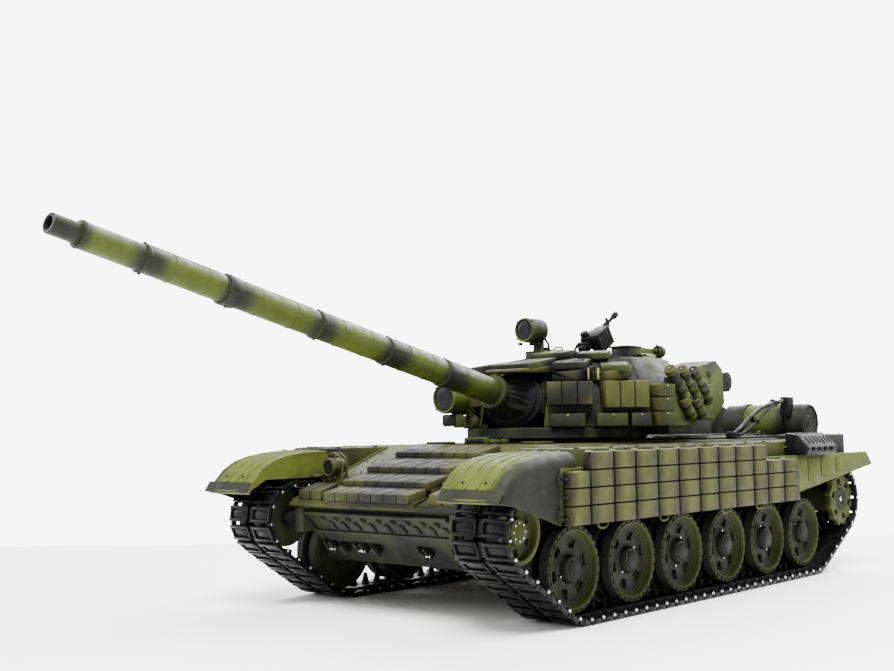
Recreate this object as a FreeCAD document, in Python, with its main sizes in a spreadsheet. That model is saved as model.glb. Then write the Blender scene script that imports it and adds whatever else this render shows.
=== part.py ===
import FreeCAD, Part
import math
import os
import re
import Sketcher

# One-sixteenth scale radio-controlled tank. Millimetres, +Z up, the gun points along -Y and the
# vehicle's left side is +X. Pieces are laid out from the middle of the hull (y = 0), with the ground
# at z = 0, and every finished piece is then moved along Y by FRAME_Y, which puts the origin under
# the middle of the bounding box.

SIZES = {
    # running gear
    "wheel_radius": 23.0, "wheel_width": 17.4, "wheel_spacing": 53.05, "last_wheel_y": 133.1,
    "first_gap_extra": 1.6, "wheel_groove_width": 5.2, "wheel_groove_radius": 14.0,
    "wheel_rim_radius": 19.8, "wheel_dish_depth": 3.4, "wheel_hub_radius": 7.6, "wheel_window": 4.6,
    "wheel_clearance": 0.1, "axle_radius": 3.0, "running_fit": 0.05,
    "arm_pin_radius": 3.5, "arm_thickness": 5.6, "arm_end_radius": 6.0, "arm_run": 13.0, "arm_drop": 8.0,
    "track_pitch": 10.3, "track_width": 36.3, "track_centre_x": 87.3, "link_outer": 3.15,
    "link_inner": 1.35, "link_length": 8.8, "link_pin_radius": 0.7, "horn_height": 7.0, "horn_width": 2.8,
    "sprocket_y": 180.4, "sprocket_z": 48.6, "sprocket_teeth": 12, "sprocket_ring_x": 13.0,
    "sprocket_ring_width": 3.6, "sprocket_ring_radius": 17.0, "tooth_tip_gap": 0.3, "shaft_radius": 4.0,
    "idler_y": -179.5, "idler_z": 50.5, "idler_radius": 16.6, "roller_radius": 6.0, "roller_z": 59.6,
    # hull
    "hull_half_width": 63.0, "hull_floor": 25.0, "hull_wall": 2.2, "hull_split": 73.8, "deck_top": 92.0,
    "nose_y": -188.0, "nose_z": 60.5, "glacis_slope": 20.5, "bow_top": 58.5, "bow_foot_y": -152.0,
    "bow_step_y": -150.0, "hull_rear": 194.0, "rear_foot_y": 180.0, "rear_foot_z": 40.0,
    "upper_half_width": 66.0, "fender_outer": 110.2, "fender_thickness": 2.0, "fender_front": -166.0,
    "side_plate": 1.7, "skirt_bottom": 56.0, "skirt_top": 81.5, "skirt_outer": 118.0,
    "guard_tip_y": -213.6, "guard_tip_z": 66.6, "guard_rear_y": 213.8, "fender_box_top": 91.0,
    "block_width": 8.9, "block_pitch": 9.4, "block_thickness": 4.4, "block_tilt": 12.0,
    "drum_y": 205.0, "drum_z": 102.8, "drum_radius": 14.2, "drum_end_x": 70.0, "strap": 0.8,
    # turret and gun
    "turret_y": -18.0, "ring_radius": 50.0, "ring_wall": 3.5, "turret_gap": 0.3, "turret_base": 101.3,
    "turret_belt": 124.0, "turret_roof": 145.0, "turret_wall": 3.5, "mantlet_half_width": 25.0,
    "trunnion_y": -52.0, "trunnion_z": 116.6, "trunnion_radius": 3.0, "gun_elevation": 13.0,
    "gun_reach": 336.5, "muzzle_radius": 4.9, "bore_radius": 3.3, "gun_block_half": 14.0,
    "gun_block_front": 10.0,
    "cupola_x": -26.0, "cupola_y": 15.0, "cupola_radius": 22.0, "hatch_radius": 12.2,
    "machine_gun_x": -12.0, "machine_gun_y": 39.0, "machine_gun_z": 160.0, "machine_gun_rise": 32.0,
    "gunner_hatch_x": 20.0, "gunner_hatch_y": 30.0, "hinge_rise": 3.6, "hinge_radius": 1.3,
    "tube_rise": 47.0, "tube_radius": 3.4, "tube_length": 15.6,
}

SIDES = {"left": 1, "right": -1}

doc = FreeCAD.newDocument("rc_tank")
sheet = doc.addObject("Spreadsheet::Sheet", "Sizes")
for row, (alias, size) in enumerate(SIZES.items(), start=1):
    sheet.set(f"A{row}", alias)
    sheet.set(f"B{row}", str(size))
    sheet.setAlias(f"B{row}", alias)
doc.recompute()

# Places that follow from the driving sizes, as expressions.
FRAME_Y = ("-0.5 * (trunnion_y - gun_reach * cos(gun_elevation) - muzzle_radius * sin(gun_elevation)"
           " + drum_y + drum_radius + strap)")
CHORD_RISE = "sqrt(({reach})^2 + (track_pitch / 2)^2)"
WHEEL_BELT = CHORD_RISE.format(reach="wheel_radius + link_inner + wheel_clearance")
WHEEL_Z = f"(link_outer + {WHEEL_BELT})"
BOW_SHIFT = "hull_wall * sqrt((bow_top - hull_floor)^2 + (bow_foot_y - nose_y)^2) / (bow_top - hull_floor)"
CREST_Y = "(nose_y + (deck_top - nose_z) / tan(glacis_slope))"
FENDER_TOP = "(hull_split + fender_thickness)"
PLATE_OUTER = "(fender_outer + 0.1 + side_plate)"
PITCH_RADIUS = "(track_pitch / (2 * sin(180 / sprocket_teeth)))"

FINISHED = []
X_AXIS = FreeCAD.Vector(1, 0, 0)
Y_AXIS = FreeCAD.Vector(0, 1, 0)
Z_AXIS = FreeCAD.Vector(0, 0, 1)


def expression(text):
    """Write an expression of sizes in the form that refers to the spreadsheet."""
    return re.sub(r"[a-z][a-z_]*", lambda word: f"Sizes.{word[0]}" if word[0] in SIZES else word[0], str(text))


def bind(target, **properties):
    """Bind each named property to its expression."""
    for name, text in properties.items():
        target.setExpression(name, expression(text))
    return target


def lay(target, x=0, y=0, z=0, axis=None, angle=0):
    """Place an object: its base point, and a turn about one axis."""
    if axis is not None:
        target.Placement = FreeCAD.Placement(FreeCAD.Vector(), FreeCAD.Rotation(axis, 10))
        target.setExpression("Placement.Rotation.Angle", expression(angle))
    target.setExpression("Placement.Base.x", expression(x))
    target.setExpression("Placement.Base.y", expression(y))
    target.setExpression("Placement.Base.z", expression(z))
    return target


def box(x, y, z):
    """Make a box from three pairs of expressions, low and high on each axis."""
    solid = bind(doc.addObject("Part::Box", "Box"), Length=f"({x[1]}) - ({x[0]})",
                 Width=f"({y[1]}) - ({y[0]})", Height=f"({z[1]}) - ({z[0]})")
    return lay(solid, x[0], y[0], z[0])


def turned_box(size, corner, axis, angle):
    """Make a box of three sizes, turned about an axis through its corner."""
    solid = bind(doc.addObject("Part::Box", "Box"), Length=size[0], Width=size[1], Height=size[2])
    return lay(solid, *corner, axis=axis, angle=angle)


def rod(axis, start, radius, length):
    """Make a cylinder along x, y or z from its start point."""
    solid = bind(doc.addObject("Part::Cylinder", "Rod"), Radius=radius, Height=length)
    if axis == "x":
        return lay(solid, *start, axis=Y_AXIS, angle=90)
    if axis == "y":
        return lay(solid, *start, axis=FreeCAD.Vector(-1, 0, 0), angle=90)
    return lay(solid, *start)


def cone(start, low_radius, high_radius, height):
    """Make an upright cone frustum."""
    solid = bind(doc.addObject("Part::Cone", "Cone"), Radius1=low_radius, Radius2=high_radius, Height=height)
    return lay(solid, *start)


def fuse(*shapes):
    """Join overlapping or touching shapes into one solid."""
    joined = doc.addObject("Part::MultiFuse", "Joined")
    joined.Shapes = list(shapes)
    joined.Refine = True
    return joined


def cut(base, *tools):
    """Take one or more tools away from a shape."""
    result = doc.addObject("Part::Cut", "Cut")
    result.Base = base
    result.Tool = tools[0] if len(tools) == 1 else group(*tools)
    return result


def common(first, second):
    """Keep what two shapes share."""
    result = doc.addObject("Part::Common", "Shared")
    result.Base = first
    result.Tool = second
    return result


def group(*shapes):
    """Hold separate solids together as one compound."""
    compound = doc.addObject("Part::Compound", "Group")
    compound.Links = list(shapes)
    return compound


def mirrored(shape):
    """Mirror a shape to the other side of the vehicle."""
    other = doc.addObject("Part::Mirroring", "Mirror")
    other.Source = shape
    other.Normal = X_AXIS
    return other


def both_sides(*shapes):
    """List shapes with their mirror images."""
    return [*shapes, *[mirrored(shape) for shape in shapes]]


def origin_feature(body, role):
    """Find a body's own origin plane or axis."""
    return next(item for item in body.Origin.OriginFeatures if item.Role == role)


def polygon_sketch(body, role, points, offset=0):
    """Draw a closed outline on an origin plane, each corner held by two bound distances."""
    sketch = body.newObject("Sketcher::SketchObject", "Outline")
    sketch.AttachmentSupport = [(origin_feature(body, role), "")]
    sketch.MapMode = "FlatFace"
    sketch.setExpression("AttachmentOffset.Base.z", expression(offset))
    count = len(points)
    start = [FreeCAD.Vector(50 * math.cos(2 * math.pi * i / count), 50 * math.sin(2 * math.pi * i / count))
             for i in range(count)]
    for i in range(count):
        sketch.addGeometry(Part.LineSegment(start[i], start[(i + 1) % count]))
    for i in range(count):
        sketch.addConstraint(Sketcher.Constraint("Coincident", i, 2, (i + 1) % count, 1))
    for i, (across, up) in enumerate(points):
        level = sketch.addConstraint(Sketcher.Constraint("DistanceX", -1, 1, i, 1, start[i].x))
        sketch.setExpression(f"Constraints[{level}]", expression(across))
        rise = sketch.addConstraint(Sketcher.Constraint("DistanceY", -1, 1, i, 1, start[i].y))
        sketch.setExpression(f"Constraints[{rise}]", expression(up))
    return sketch


def prism(role, points, length, offset=0, midplane=False):
    """Pad an outline into a PartDesign body."""
    body = doc.addObject("PartDesign::Body", "Body")
    pad = body.newObject("PartDesign::Pad", "Pad")
    pad.Profile = polygon_sketch(body, role, points, offset)
    pad.Midplane = midplane
    bind(pad, Length=length)
    body.Tip = pad
    return body


def pocket(body, role, points, length, offset=0, midplane=False, flip=False):
    """Cut an outline out of a body."""
    feature = body.newObject("PartDesign::Pocket", "Pocket")
    feature.Profile = polygon_sketch(body, role, points, offset)
    feature.Midplane = midplane
    feature.Reversed = flip
    bind(feature, Length=length)
    body.Tip = feature
    return feature


def turning(points, role="XY_Plane", axis="X_Axis"):
    """Revolve a half section about an origin axis of its own body."""
    body = doc.addObject("PartDesign::Body", "Turned")
    feature = body.newObject("PartDesign::Revolution", "Revolution")
    feature.Profile = polygon_sketch(body, role, points)
    feature.ReferenceAxis = (origin_feature(body, axis), [""])
    feature.Angle = 360
    body.Tip = feature
    return body


def repeat_round(body, feature, count):
    """Repeat a feature evenly about the body's X axis."""
    pattern = body.newObject("PartDesign::PolarPattern", "Round")
    pattern.Originals = [feature]
    pattern.Axis = (origin_feature(body, "X_Axis"), [""])
    pattern.Angle = 360
    bind(pattern, Occurrences=count)
    body.Tip = pattern
    return pattern


def finish(name, shape, x=0, y=0, z=0, axis=None, angle=0):
    """Name a sub-part and move it into the part's frame."""
    shape.Label = name
    lay(shape, x, f"{y} + ({FRAME_Y})", z, axis, angle)
    FINISHED.append(shape)
    return shape


def link(shape):
    """Hold a body so that the same body can be placed again."""
    return group(shape)


# ---------------------------------------------------------------- running gear

def wheel_y(index):
    """Y of a road wheel's centre, the first at the front."""
    extra = "" if index > 1 else " - first_gap_extra"
    return f"(last_wheel_y - {6 - index} * wheel_spacing{extra})"


def road_wheel():
    """Twin disc with a groove for the guide horns, a dished face and six windows."""
    half = "wheel_width / 2"
    web = f"({half} - wheel_dish_depth)"
    bore = "(axle_radius + running_fit)"
    body = turning([
        (f"-{half}", bore), (f"-{half}", "wheel_radius"), ("-wheel_groove_width / 2", "wheel_radius"),
        ("-wheel_groove_width / 2", "wheel_groove_radius"), ("wheel_groove_width / 2", "wheel_groove_radius"),
        ("wheel_groove_width / 2", "wheel_radius"), (half, "wheel_radius"), (half, "wheel_rim_radius"),
        (web, "wheel_rim_radius - 1"), (web, "wheel_hub_radius + 0.8"), (f"{half} - 0.7", "wheel_hub_radius"),
        (f"{half} + 0.2", "wheel_hub_radius - 2.4"), (f"{half} + 0.2", "0"), (f"{web} + 0.3", "0"),
        (f"{web} + 0.3", bore)])
    low = "wheel_hub_radius + 2.2"
    high = "wheel_rim_radius - 3.4"
    window = pocket(body, "YZ_Plane", [("-wheel_window / 2", low), ("wheel_window / 2", low),
                                       ("wheel_window / 2", high), ("-wheel_window / 2", high)],
                    "6", offset=f"{web} - 1.6", flip=True)
    repeat_round(body, window, 6)
    return body


def swing_arm(side):
    """Trailing arm: pin in the hull side, arm plate and wheel axle, with the pin at the origin."""
    inner = "hull_half_width + 0.8"
    plate = [f"{inner}", f"{inner} + arm_thickness"]
    pin_start = "hull_half_width - hull_wall - 1"
    pieces = [
        rod("x", (pin_start, 0, 0), "arm_pin_radius", f"{plate[1]} - ({pin_start})"),
        rod("x", (plate[0], 0, 0), "arm_end_radius", "arm_thickness"),
        rod("x", (plate[0], "arm_run", "-arm_drop"), "arm_end_radius", "arm_thickness"),
        turned_box(("arm_thickness", "sqrt(arm_run^2 + arm_drop^2)", "arm_end_radius * 1.5"),
                   (plate[0], "-arm_end_radius * 0.75 * sin(atan(arm_drop / arm_run))",
                    "-arm_end_radius * 0.75 * cos(atan(arm_drop / arm_run))"),
                   FreeCAD.Vector(-1, 0, 0), "atan(arm_drop / arm_run)"),
        rod("x", (plate[1], "arm_run", "-arm_drop"), "axle_radius",
            f"track_centre_x + wheel_width / 2 - wheel_dish_depth - ({plate[1]})"),
    ]
    arm = fuse(*pieces)
    return arm if side > 0 else link(mirrored(arm))


def drive_sprocket():
    """Two toothed rings on a drum, on a shaft that enters the gearbox."""
    ring_in = "(sprocket_ring_x - sprocket_ring_width / 2)"
    ring_out = "(sprocket_ring_x + sprocket_ring_width / 2)"
    shaft_end = "(hull_half_width - hull_wall - 10 - track_centre_x)"
    body = turning([
        (shaft_end, "0"), (shaft_end, "shaft_radius"), (f"-{ring_out}", "shaft_radius"),
        (f"-{ring_out}", "sprocket_ring_radius"), (f"-{ring_in}", "sprocket_ring_radius"),
        (f"-{ring_in}", "9.5"), (ring_in, "9.5"), (ring_in, "sprocket_ring_radius"),
        (ring_out, "sprocket_ring_radius"), (ring_out, "8"), (f"{ring_out} - 1.4", "7"),
        (f"{ring_out} - 1.4", "0")])
    tip = f"{PITCH_RADIUS} - link_pin_radius - tooth_tip_gap"
    for start in (ring_in, f"-{ring_out}"):
        tooth = body.newObject("PartDesign::Pad", "Tooth")
        tooth.Profile = polygon_sketch(body, "YZ_Plane", [
            ("-2.4", "sprocket_ring_radius - 1"), ("2.4", "sprocket_ring_radius - 1"), ("1.3", tip),
            ("-1.3", tip)], start)
        bind(tooth, Length="sprocket_ring_width")
        body.Tip = tooth
        repeat_round(body, tooth, "sprocket_teeth")
    opening = pocket(body, "YZ_Plane", [("-1.8", "10.6"), ("1.8", "10.6"), ("2.6", "14.6"), ("-2.6", "14.6")],
                     "2 * sprocket_ring_x + 10", midplane=True)
    repeat_round(body, opening, 6)
    return body


def idler_wheel():
    """Twin disc that guides the front bend of the track."""
    half = "9.2"
    bore = "(shaft_radius + running_fit)"
    body = turning([
        (f"-{half}", bore), (f"-{half}", "idler_radius"), ("-wheel_groove_width / 2", "idler_radius"),
        ("-wheel_groove_width / 2", "8.4"), ("wheel_groove_width / 2", "8.4"),
        ("wheel_groove_width / 2", "idler_radius"), (half, "idler_radius"), (half, "idler_radius - 2.4"),
        (f"{half} - 3.4", "idler_radius - 3.2"), (f"{half} - 3.4", "7.4"), (f"{half} - 0.4", "6.4"),
        (f"{half} - 0.4", "0"), (f"{half} - 2.6", "0"), (f"{half} - 2.6", bore)])
    opening = pocket(body, "YZ_Plane", [("-1.6", "8.6"), ("1.6", "8.6"), ("2.3", "12.2"), ("-2.3", "12.2")],
                     "8", offset=f"{half} - 4.6", flip=True)
    repeat_round(body, opening, 6)
    return body


def size(name):
    """Read a size from the spreadsheet."""
    return float(sheet.get(name))


def belt_stretches(circles):
    """Lay a taut belt round circles (y, z, radius), given clockwise, as arcs and straights."""
    stretches = []
    tangents = []
    for i, (y0, z0, r0) in enumerate(circles):
        y1, z1, r1 = circles[(i + 1) % len(circles)]
        reach = math.hypot(y1 - y0, z1 - z0)
        along = math.atan2(z1 - z0, y1 - y0)
        lean = math.asin((r0 - r1) / reach)
        normal = along + math.pi / 2 - lean
        out = (math.cos(normal), math.sin(normal))
        tangents.append((normal, (y0 + r0 * out[0], z0 + r0 * out[1]), (y1 + r1 * out[0], z1 + r1 * out[1])))
    for i, (normal, start, end) in enumerate(tangents):
        before = tangents[i - 1][0]
        turn = (before - normal) % (2 * math.pi)
        y0, z0, r0 = circles[i]
        stretches.append(("arc", (y0, z0), r0, before, turn))
        stretches.append(("line", start, end))
    return stretches


def stretch_length(stretch):
    """Length of an arc or a straight."""
    if stretch[0] == "arc":
        return stretch[2] * stretch[4]
    return math.dist(stretch[1], stretch[2])


def belt_point(stretches, distance):
    """Point of the belt at a distance from its start."""
    total = sum(stretch_length(item) for item in stretches)
    left = distance % total
    for stretch in stretches:
        length = stretch_length(stretch)
        if left <= length:
            if stretch[0] == "arc":
                angle = stretch[3] - left / stretch[2]
                return (stretch[1][0] + stretch[2] * math.cos(angle), stretch[1][1] + stretch[2] * math.sin(angle))
            share = left / length
            return tuple(a + share * (b - a) for a, b in zip(stretch[1], stretch[2]))
        left -= length
    return belt_point(stretches, 0)


def walk_pins(stretches, pitch, count):
    """Step along the belt in chords of one pitch and return the pin centres and the distance walked."""
    pins = [belt_point(stretches, 0)]
    distance = 0.0
    for _ in range(count):
        low, high = distance + pitch * 0.9, distance + pitch * 1.2
        for _ in range(40):
            middle = (low + high) / 2
            if math.dist(pins[-1], belt_point(stretches, middle)) < pitch:
                low = middle
            else:
                high = middle
        distance = low
        pins.append(belt_point(stretches, distance))
    return pins[:-1], distance


def track_circles(idler_y):
    """Circles that the pin line runs round: the last wheel, first wheel, idler and sprocket."""
    half_pitch = size("track_pitch") / 2
    skin = size("link_inner") + size("wheel_clearance")
    wheel_belt = math.hypot(size("wheel_radius") + skin, half_pitch)
    idler_belt = math.hypot(size("idler_radius") + skin, half_pitch)
    pitch_radius = half_pitch / math.sin(math.pi / size("sprocket_teeth"))
    wheel_z = size("link_outer") + wheel_belt
    last = size("last_wheel_y")
    first = last - 5 * size("wheel_spacing") - size("first_gap_extra")
    return [(size("sprocket_y"), size("sprocket_z"), pitch_radius), (last, wheel_z, wheel_belt),
            (first, wheel_z, wheel_belt), (idler_y, size("idler_z"), idler_belt)]


def belt_length(idler_y):
    """Length of the pin line for an idler position."""
    return sum(stretch_length(item) for item in belt_stretches(track_circles(idler_y)))


def tensioned_idler(links):
    """Slide the idler until a whole number of links closes the track."""
    pitch = size("track_pitch")
    low, high = size("idler_y") - 12, size("idler_y") + 12
    for _ in range(40):
        middle = (low + high) / 2
        if walk_pins(belt_stretches(track_circles(middle)), pitch, links)[1] < belt_length(middle):
            low = middle
        else:
            high = middle
    return (low + high) / 2


def track_link():
    """One link at its middle: X across, +Z towards the wheels, its pin at the -Y end."""
    width, length = size("track_width"), size("link_length")
    outer, inner, pin = size("link_outer"), size("link_inner"), size("link_pin_radius")
    half_pitch = size("track_pitch") / 2
    slot_in = size("sprocket_ring_x") - size("sprocket_ring_width") / 2 - 0.5
    slot_out = size("sprocket_ring_x") + size("sprocket_ring_width") / 2 + 0.5
    web_low, web_high, pad_high = -outer + 1.3, -0.6, -outer + 1.4

    def slab(x0, x1, y0, y1, z0, z1):
        return Part.makeBox(x1 - x0, y1 - y0, z1 - z0, FreeCAD.Vector(x0, y0, z0))

    pieces = [slab(-width / 2, width / 2, -length / 2, length / 2, web_low, web_high)]
    for x0, x1 in ((-slot_in, slot_in), (slot_out, width / 2), (-width / 2, -slot_out)):
        pieces.append(slab(x0, x1, -length / 2, length / 2, web_high, inner))
    for x0, x1 in ((1.6, width / 2 - 0.8), (-width / 2 + 0.8, -1.6)):
        pieces.append(slab(x0, x1, -length / 2 + 0.9, length / 2 - 0.9, -outer, pad_high))
        pieces.append(slab(x0, x1, -half_pitch, -length / 2, -pin, pin).common(
            slab(-slot_in, slot_in, -half_pitch, 0, -outer, inner)))
    horn = size("horn_width") / 2
    pieces.append(slab(-horn, horn, -2.4, 2.4, inner, inner + size("horn_height")))
    pieces.append(Part.makeCylinder(pin, width + 0.8, FreeCAD.Vector(-width / 2 - 0.4, -half_pitch, 0), X_AXIS))
    return pieces[0].multiFuse(pieces[1:]).removeSplitter()


def track(pins):
    """Closed chain of separate links round the belt."""
    pattern = track_link()
    links = []
    for i, (y0, z0) in enumerate(pins):
        y1, z1 = pins[(i + 1) % len(pins)]
        piece = pattern.copy()
        heading = math.degrees(math.atan2(z1 - z0, y1 - y0))
        piece.Placement = FreeCAD.Placement(
            FreeCAD.Vector(0, (y0 + y1) / 2, (z0 + z1) / 2), FreeCAD.Rotation(X_AXIS, heading + 180))
        links.append(piece)
    chain = doc.addObject("Part::Feature", "Track")
    chain.Shape = Part.makeCompound(links)
    return chain


def build_running_gear(pins, idler_y, sprocket_phase):
    """Wheels, arms, sprockets, idlers and tracks of both sides."""
    for side_name, side in SIDES.items():
        turn = 0 if side > 0 else 180
        x = f"{side} * track_centre_x"
        for index in range(1, 7):
            finish(f"road_wheel_{side_name}_{index}", road_wheel(), x, wheel_y(index), WHEEL_Z, Z_AXIS, turn)
            finish(f"swing_arm_{side_name}_{index}", swing_arm(side), 0, f"{wheel_y(index)} - arm_run",
                   f"{WHEEL_Z} + arm_drop")
        sprocket = drive_sprocket()
        phase = link(lay(sprocket, 0, 0, 0, X_AXIS, side * sprocket_phase))
        finish(f"drive_sprocket_{side_name}", phase, x, "sprocket_y", "sprocket_z", Z_AXIS, turn)
        finish(f"idler_wheel_{side_name}", idler_wheel(), x, idler_y, "idler_z", Z_AXIS, turn)
        finish(f"track_{side_name}", track(pins), x)
    rollers = []
    for y in (-106, 0, 106):
        rollers.append(fuse(
            rod("x", ("hull_half_width", y, "roller_z"), "2.5", "12"),
            rod("x", ("hull_half_width + 3", y, "roller_z"), "roller_radius", "8.4")))
    finish("return_rollers", group(*both_sides(*rollers)))


# ---------------------------------------------------------------- hull

def lower_hull(idler_y):
    """Open tub with bores for the arm pins and shafts, and an axle stub for each idler."""
    tub = prism("YZ_Plane", [
        ("nose_y + 2", "bow_top"), ("bow_foot_y", "hull_floor"), ("rear_foot_y", "hull_floor"),
        ("hull_rear", "rear_foot_z"), ("hull_rear", "hull_split"), ("bow_step_y", "hull_split"),
        ("bow_step_y", "bow_top")], "2 * hull_half_width", midplane=True)
    slope = "(bow_foot_y - nose_y - 2) / (bow_top - hull_floor)"
    pocket(tub, "YZ_Plane", [
        (f"nose_y + 2 + hull_wall * {slope} + {BOW_SHIFT}", "bow_top - hull_wall"),
        (f"bow_foot_y - hull_wall * {slope} + {BOW_SHIFT}", "hull_floor + hull_wall"),
        ("rear_foot_y - hull_wall * 0.4", "hull_floor + hull_wall"),
        ("hull_rear - hull_wall", "rear_foot_z + hull_wall * 0.4"), ("hull_rear - hull_wall", "hull_split + 2"),
        ("bow_step_y + hull_wall", "hull_split + 2"), ("bow_step_y + hull_wall", "bow_top - hull_wall")],
        "2 * (hull_half_width - hull_wall)", midplane=True)
    bores = [rod("x", ("-hull_half_width - 1", "sprocket_y", "sprocket_z"), "shaft_radius + running_fit",
                 "2 * hull_half_width + 2")]
    for index in range(1, 7):
        bores.append(rod("x", ("-hull_half_width - 1", f"{wheel_y(index)} - arm_run", f"{WHEEL_Z} + arm_drop"),
                         "arm_pin_radius + running_fit", "2 * hull_half_width + 2"))
    stub = rod("x", ("hull_half_width - hull_wall", idler_y, "idler_z"), "shaft_radius",
               "track_centre_x + 6.4 - hull_half_width + hull_wall")
    horn = box(("hull_half_width - 7", "hull_half_width"), (f"{idler_y} - 7", "bow_foot_y"), (44, "bow_top"))
    finish("lower_hull", fuse(cut(tub, *bores), *both_sides(stub, horn)))


def upper_hull():
    """Deck shell with the sloping glacis, the turret opening and the two fenders."""
    shell = prism("YZ_Plane", [
        ("nose_y", "nose_z"), (CREST_Y, "deck_top"), ("hull_rear", "deck_top"), ("hull_rear", "hull_split"),
        ("bow_step_y - 0.1", "hull_split"), ("bow_step_y - 0.1", "bow_top"), ("nose_y + 0.4", "bow_top")],
        "2 * upper_half_width", midplane=True)
    inner = "nose_y + ({z} + hull_wall / cos(glacis_slope) - nose_z) / tan(glacis_slope)"
    pocket(shell, "YZ_Plane", [
        (inner.format(z="hull_split - 1"), "hull_split - 1"),
        (inner.format(z="deck_top - hull_wall"), "deck_top - hull_wall"),
        ("hull_rear - hull_wall", "deck_top - hull_wall"), ("hull_rear - hull_wall", "hull_split - 1")],
        "2 * (upper_half_width - hull_wall)", midplane=True)
    opening = rod("z", (0, "turret_y", "hull_split"), "ring_radius + turret_gap", "40")
    hatch_hole = rod("z", (0, -86, "hull_split"), "8", "40")
    fender = box(("upper_half_width - hull_wall", "fender_outer"), ("bow_step_y", "hull_rear"),
                 ("hull_split", FENDER_TOP))
    front = box(("upper_half_width", "fender_outer"), ("fender_front", "bow_step_y"), ("hull_split", FENDER_TOP))
    tail = box(("upper_half_width", "fender_outer"), ("hull_rear", "guard_rear_y - 8"), ("hull_split", FENDER_TOP))
    finish("upper_hull", fuse(cut(shell, opening, hatch_hole), *both_sides(fender, front, tail)))


def engine_deck():
    """Cover plate over the engine bay with raised grilles and a rear vent."""
    top = "deck_top + 1.6"
    pieces = [box((-58, 58), (74, 182), ("deck_top", top))]
    for row in range(8):
        y = 128 + 6.4 * row
        pieces.append(box((-48, 48), (y, y + 3.6), (top, f"{top} + 1.4")))
    pieces.append(box((-50, -8), (84, 118), (top, f"{top} + 1")))
    pieces.append(box((8, 50), (84, 118), (top, f"{top} + 1")))
    finish("engine_deck", fuse(*pieces))


def bow_plate():
    """Self-entrenching blade on the lower bow, with four lugs."""
    angle = "atan((bow_top - hull_floor) / (bow_foot_y - nose_y - 2))"
    corner = ("-54", f"nose_y + 2 + 2.5 * cos({angle}) - 2.6 * sin({angle})",
              f"bow_top - 2.5 * sin({angle}) - 2.6 * cos({angle})")
    blade = turned_box((108, 24, 2.6), corner, FreeCAD.Vector(-1, 0, 0), angle)
    lugs = []
    for x in (-46, -20, 17, 43):
        lugs.append(turned_box((3, 7, 5), (x, f"nose_y + 2 + 29 * cos({angle}) - 5 * sin({angle})",
                                           f"bow_top - 29 * sin({angle}) - 5 * cos({angle})"),
                               FreeCAD.Vector(-1, 0, 0), angle))
    finish("bow_plate", group(blade, *lugs))


GLACIS_ROWS = (("-192", "67.3", 7, 15.0), ("-177", "73.2", 7, 19.0), ("-158", "80.3", 7, 23.0),
               ("-134.6", "88.1", 7, 20.0))


def glacis_armour():
    """Four stepped rows of armour blocks on wedge frames, with two more blocks each side below."""
    pieces = []
    plane = "nose_z + ({y} - nose_y) * tan(glacis_slope)"
    drop = "block_thickness / cos(block_tilt)"
    for y, z, count, length in GLACIS_ROWS:
        run = f"({length} - 0.8)"
        bottom_front = f"{z} - {drop}"
        bottom_rear = f"{z} - {drop} + {run} * tan(block_tilt)"
        y_rear = f"{y} + {run}"
        frame = prism("YZ_Plane", [
            (f"{y} + 3", f"{plane.format(y=f'({y} + 3)')}"), (y_rear, plane.format(y=f"({y_rear})")),
            (y_rear, f"{bottom_rear}"), (f"{y} + 3", f"{bottom_front} + 3 * tan(block_tilt)")],
            f"{count} * block_pitch", midplane=True)
        pieces.append(frame)
        for i in range(count):
            x = f"({i} - {count} / 2) * block_pitch + 0.25"
            pieces.append(prism("YZ_Plane", [
                (y, z), (y_rear, f"{z} + {run} * tan(block_tilt)"), (y_rear, bottom_rear), (y, bottom_front)],
                "block_width", offset=x))
    side_blocks = []
    for x in (41.5, 51.2):
        side_blocks.append(prism("YZ_Plane", [
            ("-186", plane.format(y="(-186)")), ("-172", plane.format(y="(-172)")), ("-172", "71.6"),
            ("-186", "67.5")], "block_width", offset=x))
    finish("glacis_armour", group(*pieces, *both_sides(*side_blocks)))


def front_mudguards():
    """Curved guard over each idler: rounded skin, outer cheek and short inner cheek."""
    inner_x, wall = "72", "1.6"
    outline = [
        ("-153", "89.3"), ("-189.7", "86.7"), ("-200", "83"), ("-207.5", "78.2"), ("guard_tip_y", "guard_tip_z"),
        ("-201.5", "64.3"), ("fender_front", "53.2"), ("fender_front", "skirt_top"), ("-153", "skirt_top")]
    guard = prism("YZ_Plane", outline, f"{PLATE_OUTER} - {inner_x}", offset=inner_x)
    pocket(guard, "YZ_Plane", [
        ("-154.6", "87.6"), ("-189.2", "85"), ("-199.2", "81.4"), ("-206", "77.2"), ("-211", "68"), ("-212", "50"),
        ("-154.6", "50")],
        f"{PLATE_OUTER} - {inner_x} - 2 * {wall}", offset=f"{inner_x} + {wall}", flip=True)
    keep_clear = box((f"{inner_x} - 1", f"{inner_x} + {wall} + 1"), ("-213", "fender_front + 2"),
                     ("50", "hull_split"))
    finish("front_mudguards", group(*both_sides(cut(guard, keep_clear))))


def side_skirts():
    """Plain side plates outside the fenders, rising to the rear mudguard tips."""
    plate = prism("YZ_Plane", [
        ("fender_front", "skirt_bottom"), ("84", "skirt_bottom"), ("guard_rear_y", "72.3"),
        ("204", "skirt_top"), ("fender_front", "skirt_top")], "side_plate", offset="fender_outer + 0.1")
    ledge = box(("fender_outer", "fender_outer + 0.1"), ("fender_front", "204"), ("hull_split", FENDER_TOP))
    finish("side_skirts", group(*both_sides(fuse(plate, ledge))))


COLUMN_EDGES = (-173.7, -148.3, -127.2, -107.0, -85.2, -63.6, -41.4, -20.0, 0.7, 22.7, 40.9, 62.6, 84.5)


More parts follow.
